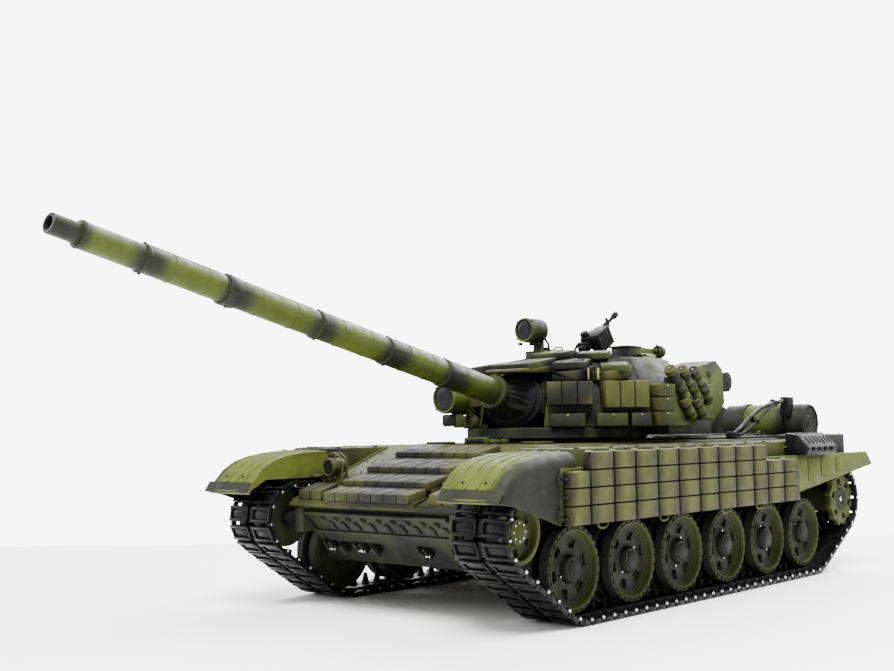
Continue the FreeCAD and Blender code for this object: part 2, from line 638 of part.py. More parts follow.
def skirt_armour():
    """Hung armour blocks: twelve columns each side, three or four rows high."""
    rows = (("53", "62.2"), ("63", "71.1"), ("71.9", "80"), ("80.6", "89.5"))
    pieces = []
    for number, (front, rear) in enumerate(zip(COLUMN_EDGES, COLUMN_EDGES[1:])):
        tall = 1 <= number <= 9
        for low, high in rows[:4 if tall else 3]:
            start = max(front, -165.5)
            pieces.append(box((PLATE_OUTER, "skirt_outer"), (start + 1.0, rear - 1.0), (low, high)))
    finish("skirt_armour", group(*both_sides(*pieces)))


def fender_tanks():
    """Stowage boxes and flat fuel cells along each fender."""
    pieces = []
    for front, rear, top in ((-152.4, -96, "fender_box_top"), (-95, -22, "fender_box_top"),
                             (-21, 52, "fender_box_top"), (53, 139, "fender_box_top"), (140, 186, "94.5")):
        pieces.append(box((74, 104), (front, rear), (FENDER_TOP, top)))
    finish("fender_tanks", group(*both_sides(*pieces)))


def exhaust_cover():
    """Louvred exhaust cowl on the left rear fender."""
    cowl = prism("XZ_Plane", [("104.2", "skirt_top"), ("119", "skirt_top"), ("121", "86"), ("113", "95"),
                              ("104.2", "96")], "44", offset="-136")
    slot = [box((106, 125), (97 + 9 * i, 101 + 9 * i), (84.5, 86.5)) for i in range(4)]
    finish("exhaust_cover", cut(cowl, *slot))


def fuel_drums():
    """Two ribbed drums across the tail on saddle brackets, held by straps."""
    start = "3"
    drum = rod("x", (start, "drum_y", "drum_z"), "drum_radius", "drum_end_x - 3")
    ring = "drum_radius + strap"
    pieces = [drum]
    for x in (17, 50):
        outer = rod("x", (x, "drum_y", "drum_z"), ring, "4")
        pieces.append(cut(outer, rod("x", (x - 1, "drum_y", "drum_z"), "drum_radius", "6")))
        arm = box((x, x + 4), ("hull_rear", "drum_y + 8"), (80, 98))
        pieces.append(cut(arm, rod("x", (x - 1, "drum_y", "drum_z"), ring, "6")))
    finish("fuel_drums", group(*both_sides(*pieces)))


def headlights():
    """A lamp in a double hoop guard at each side of the glacis."""
    y, z = -160, 80
    lamp = fuse(rod("y", (57, y - 5, z), "5.2", "9"), box((56, 58), (y - 2, y + 2), (68.5, z)))
    plate = box((47, 65), (y - 3, y + 3), (66, 72.5))
    glacis = prism("YZ_Plane", [("nose_y", "nose_z"), (CREST_Y, "deck_top"), (CREST_Y, "40"), ("nose_y", "40")],
                   "2 * upper_half_width", midplane=True)
    hoops = []
    for offset in (-2.4, 1.4):
        outer = rod("y", (57, y + offset, z), "8.6", "1")
        hoops.append(fuse(cut(outer, rod("y", (57, y + offset - 1, z), "7.6", "3")),
                          box((48.4, 49.4), (y + offset, y + offset + 1), (71, z)),
                          box((64.6, 65.6), (y + offset, y + offset + 1), (70, z))))
    finish("headlights", group(*both_sides(cut(fuse(lamp, plate, *hoops), glacis))))


def driver_hatch():
    """Driver's hatch on a pivot post beside it."""
    top = "deck_top + 2.2"
    finish("driver_hatch", fuse(
        rod("z", (0, 0, "deck_top"), "9.5", "2.2"), rod("z", (0, 0, top), "6", "0.8"),
        box((0, 12), (-2, 2), ("deck_top", top)), rod("z", (12, 0, "deck_top"), "2.4", "3")), 0, -86, 0)


def interior():
    """Battery, circuit board with speaker, and the drive units inside the tub."""
    floor = "hull_floor + hull_wall"
    battery = box((-33, 33), (-70, 66), (floor, f"{floor} + 24"))
    finish("battery_pack", link(battery))
    board = [box((-36, 36), (76, 132), ("40", "41.6"))]
    for x in (-33, 29):
        for y in (78, 126):
            board.append(box((x, x + 4), (y, y + 4), (floor, "40")))
    board.append(box((-20, 4), (86, 110), ("41.6", "45")))
    board.append(rod("z", (20, 104, "41.6"), "13", "6"))
    finish("circuit_board", fuse(*board))
    gearbox = cut(fuse(box((12, "hull_half_width - hull_wall"), (162, 188), (39, 62)),
                       box((12, "hull_half_width - hull_wall"), (162, 177), (floor, 40))),
                  rod("x", ("hull_half_width - hull_wall - 12", "sprocket_y", "sprocket_z"),
                      "shaft_radius + running_fit", "14"))
    motor = rod("y", (36, 140, 45), "12", "22")
    finish("drive_units", group(*both_sides(fuse(gearbox, motor))))


# ---------------------------------------------------------------- turret

BASE_OUTLINE = ((24, -66), (50.5, -48.5), (74, -25.5), (78.5, -8), (77, 20), (68, 45), (50, 62), (25, 70))
BELT_OUTLINE = ((23, -62), (48, -45), (70, -23), (74, -6), (72, 20), (63, 43), (47, 58), (23, 66))
ROOF_OUTLINE = ((18, -38), (36, -28), (54, -12), (58, 2), (57, 20), (50, 38), (38, 49), (18, 54))


def turret_core(scale, levels):
    """Loft the cast turret through its three outlines, at a scale about the ring's middle."""
    body = doc.addObject("PartDesign::Body", "Casting")
    sections = []
    for outline, level in zip((BASE_OUTLINE, BELT_OUTLINE, ROOF_OUTLINE), levels):
        half = [(f"{x} * {scale}", f"turret_y + ({y} - turret_y) * {scale}") for x, y in outline]
        other = [(f"-({x})", y) for x, y in reversed(half)]
        sections.append(polygon_sketch(body, "XY_Plane", half + other, level))
    loft = body.newObject("PartDesign::AdditiveLoft", "Loft")
    loft.Profile = sections[0]
    loft.Sections = sections[1:]
    loft.Ruled = True
    body.Tip = loft
    return body


def outer_core():
    """Outer surface of the casting, used to seat everything that is bolted to it."""
    return turret_core("1", ("turret_base", "turret_belt", "turret_roof"))


def turret_shell():
    """Hollow casting with ring collar, retaining lip, gun opening, trunnion lugs and roof openings."""
    hollow = turret_core("0.945", ("turret_base + 2.7", "turret_belt", "turret_roof - turret_wall"))
    floor_hole = rod("z", (0, "turret_y", "turret_base - 1"), "ring_radius - ring_wall", "6")
    mouth = box(("-mantlet_half_width", "mantlet_half_width"), (-90, "trunnion_y + 9"),
                ("turret_base - 1", "turret_belt + 11"))
    cupola_hole = rod("z", ("cupola_x", "cupola_y", "turret_roof - 10"), "14", "20")
    gunner_hole = rod("z", ("gunner_hatch_x", "gunner_hatch_y", "turret_roof - 10"), "10", "20")
    lugs = common(group(box((15, 19), ("trunnion_y - 5", "trunnion_y + 12"), ("trunnion_z - 7", "turret_roof")),
                        box((-19, -15), ("trunnion_y - 5", "trunnion_y + 12"), ("trunnion_z - 7", "turret_roof"))),
                  outer_core())
    bore = rod("x", (-30, "trunnion_y", "trunnion_z"), "trunnion_radius + running_fit", "60")
    collar = cut(rod("z", (0, "turret_y", "deck_top - hull_wall - 4"), "ring_radius",
                     "turret_base + 1 - deck_top + hull_wall + 4"),
                 rod("z", (0, "turret_y", "deck_top - hull_wall - 5"), "ring_radius - ring_wall", "40"))
    collar_front = box(("-mantlet_half_width", "mantlet_half_width"), (-90, "trunnion_y + 9"), ("turret_base", 140))
    lip = cut(rod("z", (0, "turret_y", "deck_top - hull_wall - 4"), "ring_radius + 3", "2.6"),
              rod("z", (0, "turret_y", "deck_top - hull_wall - 5"), "ring_radius - ring_wall", "6"))
    casting = fuse(cut(outer_core(), hollow, floor_hole, mouth, cupola_hole, gunner_hole),
                   cut(lugs, bore), cut(collar, collar_front), lip)
    finish("turret_shell", casting)


def cheek_boxes(start, heading, count, wide, low, high, depth):
    """Row of boxes along one straight stretch of the turret's cheek."""
    boxes = []
    for i in range(count):
        x = f"{start[0]} + {i} * {wide} * cos({heading})"
        y = f"{start[1]} + {i} * {wide} * sin({heading})"
        boxes.append(turned_box((f"{wide} - 0.4", depth, f"{high} - {low}"), (x, y, low), Z_AXIS, heading))
    return boxes


def turret_armour():
    """Blocks on both cheeks, hanging flaps below them and tilted slabs on the roof's front."""
    seated = []
    seated += cheek_boxes((31.8, -70), 36, 3, 9.3, 115.2, 129, 16)
    seated += cheek_boxes((61, -50.5), 51, 3, 9.2, 113, 129, 16)
    for low, high in ((102, 110.3), (110.8, 119), (119.5, 127)):
        seated += cheek_boxes((81, -23.6), 71, 1, 13, low, high, 16)
    seated += cheek_boxes((33.2, -68.4), 36, 1, 21, 102, 109.8, 12)
    seated += cheek_boxes((56.6, -52.8), 48, 1, 19, 102, 109.8, 12)
    seated += cheek_boxes((71, -37.8), 52, 1, 12.5, 102, 109.8, 12)
    slabs = []
    for x0, x1, y0, y1, low, high in ((-8, 22, -80, -45, 129.2, 141), (23, 44, -56, -36, 129.2, 139.5),
                                      (45, 60, -42, -20, 129.2, 139), (0, 22, -44, -30, 136, 146.5)):
        slabs.append(prism("YZ_Plane", [
            (y0, low), (y1, f"{low} + 2"), (y1, high), (y0, f"{high} - 4")], f"{x1 - x0}", offset=x0))
    roof_gap = box(("-mantlet_half_width - 0.3", "mantlet_half_width + 0.3"), (-100, -40), (90, 135.3))
    cut_seated = [cut(piece, outer_core_copy) for piece in both_sides(*seated)]
    cut_slabs = [cut(piece, outer_core_copy, roof_gap) for piece in slabs]
    right_slabs = [mirrored(piece) for piece in cut_slabs[1:3]]
    finish("turret_armour", group(*cut_seated, *cut_slabs, *right_slabs))


def smoke_launchers():
    """Eight launcher tubes in three rows on the turret's left side."""
    rows = ((3, -7.3, 136.5), (3, 2.3, 128.0), (2, 7.0, 118.6))
    tubes = []
    for count, first, z in rows:
        for i in range(count):
            tube = bind(doc.addObject("Part::Cylinder", "Tube"), Radius="tube_radius", Height="tube_length")
            tubes.append(lay(tube, 79, first + 13.6 * i, z, FreeCAD.Vector(-1, 0, 0), "90 + tube_rise"))
    plate = box((66, 77), (-4, 48), (106, 128))
    arm = box((56, 77), (4, 34), (126, 132))
    finish("smoke_launchers", cut(fuse(*tubes, plate, arm), outer_core_copy))


def turret_bins():
    """Stowage bins round the back of the turret and the snorkel tube across them."""
    side = prism("YZ_Plane", [(40, 104.2), (75, 104.2), (91, 116.6), (89, 139.5), (80, 145.5), (58, 141), (40, 138)],
                 "26", offset="36")
    rear = box((-35.5, 35.5), (60, 98), (104.2, 138))
    snorkel = rod("x", (-56, 105.2, 131.6), "6.3", "112")
    clamps = [box((x, x + 4), (98, 106), (126, 130)) for x in (-30, 26)]
    left = cut(side, outer_core_copy)
    right = cut(mirrored(side), outer_core_copy)
    middle = cut(rear, outer_core_copy)
    finish("turret_bins", group(left, right, middle, fuse(snorkel, *clamps)))


def gunner_sight():
    """Sight housing with its round lamp on the left of the roof, and a rear lamp on a stalk."""
    housing = box((34, 47), (3, 27), ("turret_roof", 152))
    lamp = rod("y", (51, 4, 143.5), "4.6", "12")
    stalk = rod("z", (48, 32, 143), "1", "5")
    ball = bind(doc.addObject("Part::Sphere", "Ball"), Radius="4")
    lay(ball, 48, 32, 150)
    finish("gunner_sight", cut(fuse(housing, lamp, rod("y", (48, 20, 147), "1.2", "12"), ball, stalk), outer_core_copy))


def main_searchlight():
    """Large lamp to the right of the gun, with a box lamp below it."""
    lamp = rod("y", (-34, -88, 120.4), "9.3", "14")
    bracket = box((-40, -30), (-76, -44), (110.6, 114.4))
    lower = box((-40, -28), (-84, -77), (103, 110.6))
    finish("main_searchlight", cut(fuse(lamp, bracket, lower), outer_core_copy, *armour_keepers()))


def armour_keepers():
    """Solids of the right cheek's first blocks, which the searchlight bracket is cut to clear."""
    first = cheek_boxes((31.8, -70), 36, 3, 9.3, 115.2, 129, 16)
    flap = cheek_boxes((33.2, -68.4), 36, 1, 21, 102, 109.8, 12)
    return [mirrored(piece) for piece in first + flap]


GUN_STEPS = ((15.3, 1.2, 6.7, 6.4), (48.4, 1.6, 7.3, 6.7), (99, 4.2, 8.0, 7.0), (157.8, 1.8, 7.9, 7.3),
             (210, 2.0, 8.1, 7.6), (259, 2.2, 8.5, 7.9), (306, 2.2, 10.4, 7.9))


def gun_barrel():
    """Bored barrel with thermal sleeves and clamps, trunnion block and breech, pivot at the origin."""
    outline = [("-gun_reach", "bore_radius"), ("-gun_reach", "muzzle_radius")]
    radius = "muzzle_radius"
    for distance, half, ring, sleeve in GUN_STEPS:
        outline += [(f"{distance - half} - gun_reach", radius), (f"{distance - half} - gun_reach", ring),
                    (f"{distance + half} - gun_reach", ring), (f"{distance + half} - gun_reach", sleeve)]
        radius = sleeve
    outline += [("-gun_block_front", radius), ("-gun_block_front", "bore_radius")]
    barrel = turning(outline, "YZ_Plane", "Y_Axis")
    block = cut(box(("-gun_block_half", "gun_block_half"), ("-gun_block_front", 10), (-8.5, 8.5)),
                rod("y", (0, -12, 0), "bore_radius", "24"))
    breech = box((-8, 8), (10, 38), (-8, 8))
    pins = rod("x", ("-gun_block_half - 5", 0, 0), "trunnion_radius", "5.5")
    cradle = fuse(block, breech, pins, rod("x", ("gun_block_half - 0.5", 0, 0), "trunnion_radius", "5.5"))
    finish("gun_barrel", group(barrel, cradle), 0, "trunnion_y", "trunnion_z", FreeCAD.Vector(-1, 0, 0), "gun_elevation")


def mantlet_cover():
    """Canvas dust cover between the gun's collar and the turret, as a plain closed cone."""
    back = bind(doc.addObject("Part::Ellipse", "Back"), MajorRadius="mantlet_half_width - 1.5", MinorRadius="13")
    lay(back, 0, -14, 0, X_AXIS, 90)
    front = bind(doc.addObject("Part::Circle", "Front"), Radius="10.6")
    lay(front, 0, -27.6, 0, X_AXIS, 90)
    loft = doc.addObject("Part::Loft", "Canvas")
    loft.Sections = [back, front]
    loft.Solid = True
    loft.Ruled = True
    canvas = cut(loft, rod("y", (0, -40, 0), "8.2", "40"))
    finish("mantlet_cover", canvas, 0, "trunnion_y", "trunnion_z", FreeCAD.Vector(-1, 0, 0), "gun_elevation")


def cupola():
    """Commander's cupola: ring, spigot in the roof, front periscope, searchlight and gun post."""
    base = "turret_roof + 0.2"
    ring = cut(fuse(rod("z", (0, 0, base), "cupola_radius", "3"),
                    cone((0, 0, f"{base} + 3"), "cupola_radius", "hatch_radius + 3", "2.6"),
                    rod("z", (0, 0, "turret_roof - 6"), "14 - running_fit", "8"),
                    box((-9, 9), (-20, -13), (base, f"{base} + 8")),
                    box((-3, 3), (-19, -14), (f"{base} + 6", 160)),
                    box((4, 18), (14, 20), (base, f"{base} + 2.8"))),
               rod("z", (0, 0, 130), "11.6", "40"))
    light = rod("y", (0, -31, 166.6), "8.2", "15")
    mount_x = "machine_gun_x - cupola_x"
    mount_y = "machine_gun_y - cupola_y"
    post = fuse(box((f"{mount_x} - 6", f"{mount_x} - 3.5"), (f"{mount_y} - 4", f"{mount_y} + 4"), (148, 163)),
                box((f"{mount_x} - 6", f"{mount_x} + 4"), (f"{mount_y} - 5", f"{mount_y} + 4"), (146, 150.5)))
    pivot = rod("x", (f"{mount_x} - 4", mount_y, "machine_gun_z"), "1.5", "7")
    finish("cupola", fuse(ring, light, post, pivot), "cupola_x", "cupola_y")


def commander_hatch():
    """Round hatch on the cupola, hinged at the front."""
    base = "turret_roof + 5.9"
    finish("commander_hatch", fuse(
        rod("z", (0, 0, base), "hatch_radius", "2"), cone((0, 0, f"{base} + 2"), "hatch_radius", "7", "1.2"),
        box((-4, 4), (-12.9, -10.6), (f"{base} + 0.7", f"{base} + hinge_rise")),
        rod("x", (-4, "-hatch_radius", f"{base} + hinge_rise"), "hinge_radius", "8")), "cupola_x", "cupola_y")


def gunner_hatch():
    """Gunner's hatch on the left of the roof, hinged at the front."""
    finish("gunner_hatch", fuse(
        rod("z", (0, 0, "turret_roof"), "11.4", "2"), rod("z", (0, 0, "turret_roof + 2"), "6", "0.9"),
        box((-4, 4), (-12.6, -10), ("turret_roof + 0.7", "turret_roof + hinge_rise")),
        rod("x", (-4, "-11.6", "turret_roof + hinge_rise"), "hinge_radius", "8")), "gunner_hatch_x", "gunner_hatch_y")


def machine_gun():
    """Roof machine gun in its cradle with an ammunition box, pivot at the origin, barrel along +Y."""
    gun = fuse(
        cut(box((-3.2, 3.4), (-9, 15), (-2.6, 4)), rod("x", (-5, 0, 0), "1.5 + running_fit", "10")),
        rod("y", (0.2, 14.5, 1.4), "1.3", "22"), rod("y", (0.2, 34, 1.4), "2", "5"),
        box((3.2, 11), (-5, 12), (-7, 6)), box((-2, 2), (-13.5, -9), (-1, 3)))
    tilted = lay(link(gun), 0, 0, 0, X_AXIS, "machine_gun_rise")
    finish("machine_gun", link(tilted), "machine_gun_x", "machine_gun_y", "machine_gun_z")


def tow_cable():
    """Tow cable lying up over the left of the deck to a bracket on the drum."""
    points = [(62, 101, 95.2), (61.4, 114, 100), (60.6, 130, 108), (59.6, 148, 114), (58.6, 168, 117.4),
              (58, 186, 119.2)]
    path = [FreeCAD.Vector(*point) for point in points]
    edges = []
    start = path[0]
    for before, corner, after in zip(path, path[1:], path[2:]):
        to_before, to_after = before - corner, after - corner
        reach = 0.45 * min(to_before.Length, to_after.Length)
        enter = corner + to_before.normalize() * reach
        leave = corner + to_after.normalize() * reach
        bisector = (to_before + to_after).normalize()
        half_turn = (math.pi - to_before.getAngle(to_after)) / 2
        radius = reach / math.tan(half_turn)
        centre = corner + bisector * (radius / math.cos(half_turn))
        middle = centre - bisector * radius
        edges += [Part.LineSegment(start, enter).toShape(), Part.Arc(enter, middle, leave).toShape()]
        start = leave
    edges.append(Part.LineSegment(start, path[-1]).toShape())
    spine = Part.Wire(edges)
    section = Part.Wire(Part.Circle(path[0], path[1] - path[0], 1.4).toShape())
    tube = doc.addObject("Part::Feature", "Cable")
    tube.Shape = spine.makePipeShell([section], True, False)
    foot = box((59, 65), (96, 101), ("deck_top", 97))
    eye = cut(box((55, 61), (186, 196), (108, 122)), rod("x", (50, "drum_y", "drum_z"), "drum_radius + strap", "16"))
    finish("tow_cable", group(tube, cut(foot, tube), cut(eye, tube)))


links_per_track = round(belt_length(size("idler_y")) / size("track_pitch"))
idler_y = round(tensioned_idler(links_per_track), 4)
pins = walk_pins(belt_stretches(track_circles(idler_y)), size("track_pitch"), links_per_track)[0]
print("idler y", idler_y, "closing gap", round(math.dist(pins[0], pins[-1]) - size("track_pitch"), 4))
nearest = min(pins, key=lambda pin: abs(math.dist(pin, (size("sprocket_y"), size("sprocket_z")))
                                        - size("track_pitch") / 2 / math.sin(math.pi / size("sprocket_teeth"))))
pin_angle = math.degrees(math.atan2(nearest[1] - size("sprocket_z"), nearest[0] - size("sprocket_y")))
sprocket_phase = (pin_angle - 90 + 180 / size("sprocket_teeth")) % (360 / size("sprocket_teeth"))

outer_core_copy = outer_core()
build_running_gear(pins, idler_y, round(sprocket_phase, 4))
lower_hull(idler_y)
for build in (upper_hull, engine_deck, bow_plate, glacis_armour, front_mudguards, side_skirts, skirt_armour,
              fender_tanks, exhaust_cover, fuel_drums, headlights, driver_hatch, interior, turret_shell,
              turret_armour, smoke_launchers, turret_bins, gunner_sight, main_searchlight, gun_barrel,
              mantlet_cover, cupola, commander_hatch, gunner_hatch, machine_gun, tow_cable):
    build()
doc.recompute()

for item in doc.Objects:
    if "Invalid" in item.State or "Error" in item.State:
        raise RuntimeError(f"{item.Label} did not build: {item.State}")
for item in FINISHED:
    if item.Shape.isNull() or not item.Shape.isValid():
        raise RuntimeError(f"{item.Label} has no valid shape")

os.makedirs("parts", exist_ok=True)
for item in FINISHED:
    item.Shape.exportStep(os.path.join("parts", f"{item.Label}.step"))
print(len(FINISHED), "sub-parts written")
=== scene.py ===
"""Looks of a one-sixteenth radio-controlled tank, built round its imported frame.

Places and sizes are in millimetres from the middle of the hull, with the ground at z = 0, the gun
along -Y and the vehicle's left side at +X. Shape.piece() turns them into metres in the frame's axes.
"""

from __future__ import annotations

import logging
import math
from dataclasses import dataclass
from enum import Enum
from typing import Callable, Iterable, Sequence

import bmesh
import bpy
from mathutils import Matrix, Vector, noise


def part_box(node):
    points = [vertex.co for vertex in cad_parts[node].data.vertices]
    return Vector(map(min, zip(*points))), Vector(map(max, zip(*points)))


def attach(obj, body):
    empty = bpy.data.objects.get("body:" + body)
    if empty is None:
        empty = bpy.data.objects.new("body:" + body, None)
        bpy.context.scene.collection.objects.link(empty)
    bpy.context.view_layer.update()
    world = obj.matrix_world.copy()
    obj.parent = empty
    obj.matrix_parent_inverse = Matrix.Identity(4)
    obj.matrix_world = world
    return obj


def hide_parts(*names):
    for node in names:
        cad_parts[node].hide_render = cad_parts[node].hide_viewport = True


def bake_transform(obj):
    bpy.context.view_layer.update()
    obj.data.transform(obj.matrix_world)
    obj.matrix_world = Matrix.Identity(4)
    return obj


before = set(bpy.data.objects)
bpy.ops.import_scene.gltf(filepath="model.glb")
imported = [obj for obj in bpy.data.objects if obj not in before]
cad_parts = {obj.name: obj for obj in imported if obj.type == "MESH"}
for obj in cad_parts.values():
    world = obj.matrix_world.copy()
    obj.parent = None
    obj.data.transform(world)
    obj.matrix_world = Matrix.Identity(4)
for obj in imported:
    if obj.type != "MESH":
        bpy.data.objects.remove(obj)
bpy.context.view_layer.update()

LOG = logging.getLogger("tank")
MM = 0.001
HULL_REAR = 194.0
HULL_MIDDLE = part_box("lower_hull")[1].y / MM - HULL_REAR
NOSE_Y, NOSE_Z = -188.0, 60.5
DECK_TOP = 92.0
BOX_TOP = 91.0
BLADE_TOP, BLADE_FOOT = (-186.0, 58.5), (-152.0, 25.0)
TRACK_CENTRE = 87.3
SPROCKET_PLACE = (180.4, 48.6)
TURRET_Y = -18.0
FRONT = Vector((0, -1, 0))
UP = Vector((0, 0, 1))
LEFT = Vector((1, 0, 0))
Point = Sequence[float]
NOISE_SPAN = (0.3, 0.7)
EDGE_REACH = 0.0003
CORNER_REACH = 0.0045
LOW_GLOSS = 0.12


class Side(Enum):
    """The two sides of the vehicle, with the sign of their X."""

    LEFT = 1
    RIGHT = -1

    @property
    def word(self) -> str:
        """The side's name as nodes and bodies spell it."""
        return self.name.lower()


def middle_of(node: str) -> Vector:
    """Middle of a node's box, in millimetres from the middle of the hull."""
    low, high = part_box(node)
    centre = (low + high) / 2 / MM
    return centre - Vector((0, HULL_MIDDLE, 0))


# ------------------------------------------------------------------ finishes


class Graph:
    """A material's node tree with short calls for adding and joining nodes."""

    def __init__(self, name: str) -> None:
        """Make an empty material that holds a Principled shader."""
        self.material = bpy.data.materials.new(name)
        self.material.use_nodes = True
        self.tree = self.material.node_tree
        self.shader = self.tree.nodes["Principled BSDF"]
        self.coords = self.add("ShaderNodeTexCoord").outputs["Object"]

    def add(self, kind: str, inputs: dict | None = None, **settings) -> bpy.types.Node:
        """Add a node.

        Args:
            kind: Blender's name of the node type.
            inputs: sockets by name or number, each a value or an output to join.
            settings: properties of the node.

        Returns:
            The new node.
        """
        node = self.tree.nodes.new(kind)
        for name, value in settings.items():
            setattr(node, name, value)
        for socket, value in (inputs or {}).items():
            self.join(value, node.inputs[socket])
        return node

    def join(self, value, socket: bpy.types.NodeSocket) -> None:
        """Join an output to a socket, or set the socket's own value."""
        if isinstance(value, bpy.types.NodeSocket):
            self.tree.links.new(value, socket)
        else:
            socket.default_value = value

    def math(self, operation: str, *values) -> bpy.types.NodeSocket:
        """Combine numbers with a Math node and return its output."""
        return self.add("ShaderNodeMath", dict(enumerate(values)), operation=operation).outputs[0]

    def spread(self, value, low: float, high: float, to_low: float, to_high: float) -> bpy.types.NodeSocket:
        """Map a number from one range to another with soft ends."""
        inputs = {"Value": value, "From Min": low, "From Max": high, "To Min": to_low, "To Max": to_high}
        return self.add("ShaderNodeMapRange", inputs, interpolation_type="SMOOTHSTEP").outputs[0]

    def grain(self, scale: float, detail: float = 3.0, place=None) -> bpy.types.NodeSocket:
        """Noise at a scale per metre."""
        inputs = {"Vector": self.coords if place is None else place, "Scale": scale, "Detail": detail}
        return self.add("ShaderNodeTexNoise", inputs).outputs["Fac"]

    def speckle(self, low: float, high: float, scale: float, detail: float = 3.0) -> bpy.types.NodeSocket:
        """Noise at a scale per metre, spread from one value to another."""
        return self.spread(self.grain(scale, detail), *NOISE_SPAN, low, high)

    def mix(self, factor, first, second) -> bpy.types.NodeSocket:
        """Mix two colours."""
        node = self.add("ShaderNodeMix", data_type="RGBA", blend_type="MIX")
        for socket, value in ((0, factor), (6, first), (7, second)):
            self.join(value, node.inputs[socket])
        return node.outputs[2]

    def edges(self) -> bpy.types.NodeSocket:
        """Where an outward or inward edge lies within the edge reach."""
        rounded = self.add("ShaderNodeBevel", {"Radius": EDGE_REACH}, samples=4).outputs[0]
        flat = self.add("ShaderNodeNewGeometry").outputs["Normal"]
        turned = self.add("ShaderNodeVectorMath", {0: rounded, 1: flat},
                          operation="DOT_PRODUCT").outputs["Value"]
        return self.spread(turned, 0.80, 0.97, 1.0, 0.0)

    def bump(self, height, strength: float, distance: float) -> None:
        """Drive the shader's normal with a height."""
        node = self.add("ShaderNodeBump", {"Height": height, "Strength": strength, "Distance": distance})
        self.join(node.outputs[0], self.shader.inputs["Normal"])


def rgba(colour: Point) -> tuple[float, float, float, float]:
    """Add full opacity to a colour."""
    return (*colour, 1.0)


GREEN = (0.040, 0.054, 0.0060)
KHAKI = (0.038, 0.043, 0.0095)
SHADE = (0.0085, 0.0090, 0.0064)
# Painted shade laid in corners and creases: its colour, and how much of it is laid.
CORNER_SHADE = (0.003, 0.0032, 0.002)
CORNER_SHADE_SHARE = 0.8
WASH_SHARE = 0.28


@dataclass(frozen=True)
class Paint:
    """Two colours laid as sprayed camouflage patches, or as bands along a line, with painted shade in the
    corners and worn edges.
    """

    name: str
    light: Point = GREEN
    dark: Point = SHADE
    patch: float = 13.0
    bias: float = 0.56
    soft: float = 0.07
    stretch: Point = (1.0, 1.0, 1.0)
    shift: Point = (0.0, 0.0, 0.0)
    rough: float = 0.62
    bands: tuple[tuple[float, float], ...] = ()
    band_start: Point = (0.0, 0.0, 0.0)
    band_end: Point = (0.0, 0.0, 0.0)
    wander: float = 0.03
    slot: str = "green_plastic"

    def mask(self, graph: Graph) -> bpy.types.NodeSocket:
        """Where the dark colour lies: soft patches, or bands along a line."""
        if not self.bands:
            place = graph.add("ShaderNodeMapping", {"Vector": graph.coords, "Scale": self.stretch,
                                                    "Location": self.shift}).outputs[0]
            patches = graph.grain(self.patch, 1.2, place)
            return graph.spread(patches, self.bias - self.soft, self.bias + self.soft, 0.0, 1.0)
        start = Vector(self.band_start) * MM + Vector((0, HULL_MIDDLE * MM, 0))
        run = Vector(self.band_end) * MM + Vector((0, HULL_MIDDLE * MM, 0)) - start
        offset = graph.add("ShaderNodeVectorMath", {0: graph.coords, 1: start},
                           operation="SUBTRACT").outputs[0]
        along = graph.add("ShaderNodeVectorMath", {0: offset, 1: run / run.length_squared},
                          operation="DOT_PRODUCT").outputs["Value"]
        wander = graph.math("MULTIPLY_ADD", graph.grain(40.0, 1.0), self.wander, along)
        ramp = graph.add("ShaderNodeValToRGB", {0: graph.math("SUBTRACT", wander, self.wander / 2)})
        ramp.color_ramp.interpolation = "EASE"
        stops = ramp.color_ramp.elements
        while len(stops) < len(self.bands):
            stops.new(0.5)
        for stop, (distance, darkness) in zip(stops, self.bands):
            stop.position = distance * MM / run.length
            stop.color = (darkness, darkness, darkness, 1.0)
        return ramp.outputs[0]

    def material(self) -> bpy.types.Material:
        """Build the paint's node tree."""
        graph = Graph(self.name)
        colour = graph.mix(self.mask(graph), rgba(self.light), rgba(self.dark))
        tone = graph.speckle(0.0, 1.0, 90.0, 5.0)
        colour = graph.mix(tone, graph.mix(WASH_SHARE, colour, rgba((0.0, 0.0, 0.0))), colour)
        # Painted shade: the colour is darkened towards the shade colour where an occlusion test finds
        # corners and creases.
        corner = graph.add("ShaderNodeAmbientOcclusion", {"Distance": CORNER_REACH},
                           samples=4).outputs["AO"]
        corner_shade = graph.spread(corner, 0.35, 0.95, 1.0, 0.0)
        colour = graph.mix(graph.math("MULTIPLY", corner_shade, CORNER_SHADE_SHARE), colour, rgba(CORNER_SHADE))
        scuffed = graph.math("MULTIPLY", graph.edges(), graph.speckle(0.1, 0.75, 350.0, 4.0))
        worn = tuple(min(1.0, part * 2.0 + 0.006) for part in self.light)
        colour = graph.mix(scuffed, colour, rgba(worn))
        graph.join(colour, graph.shader.inputs["Base Color"])
        graph.shader.inputs["Specular IOR Level"].default_value = LOW_GLOSS
        fine = graph.grain(1400.0, 3.0)
        graph.join(graph.speckle(self.rough - 0.1, self.rough + 0.1, 160.0, 4.0),
                   graph.shader.inputs["Roughness"])
        graph.bump(graph.math("ADD", fine, graph.math("MULTIPLY", graph.grain(120.0, 2.0), 0.6)), 0.18,
                   0.0002)
        return graph.material


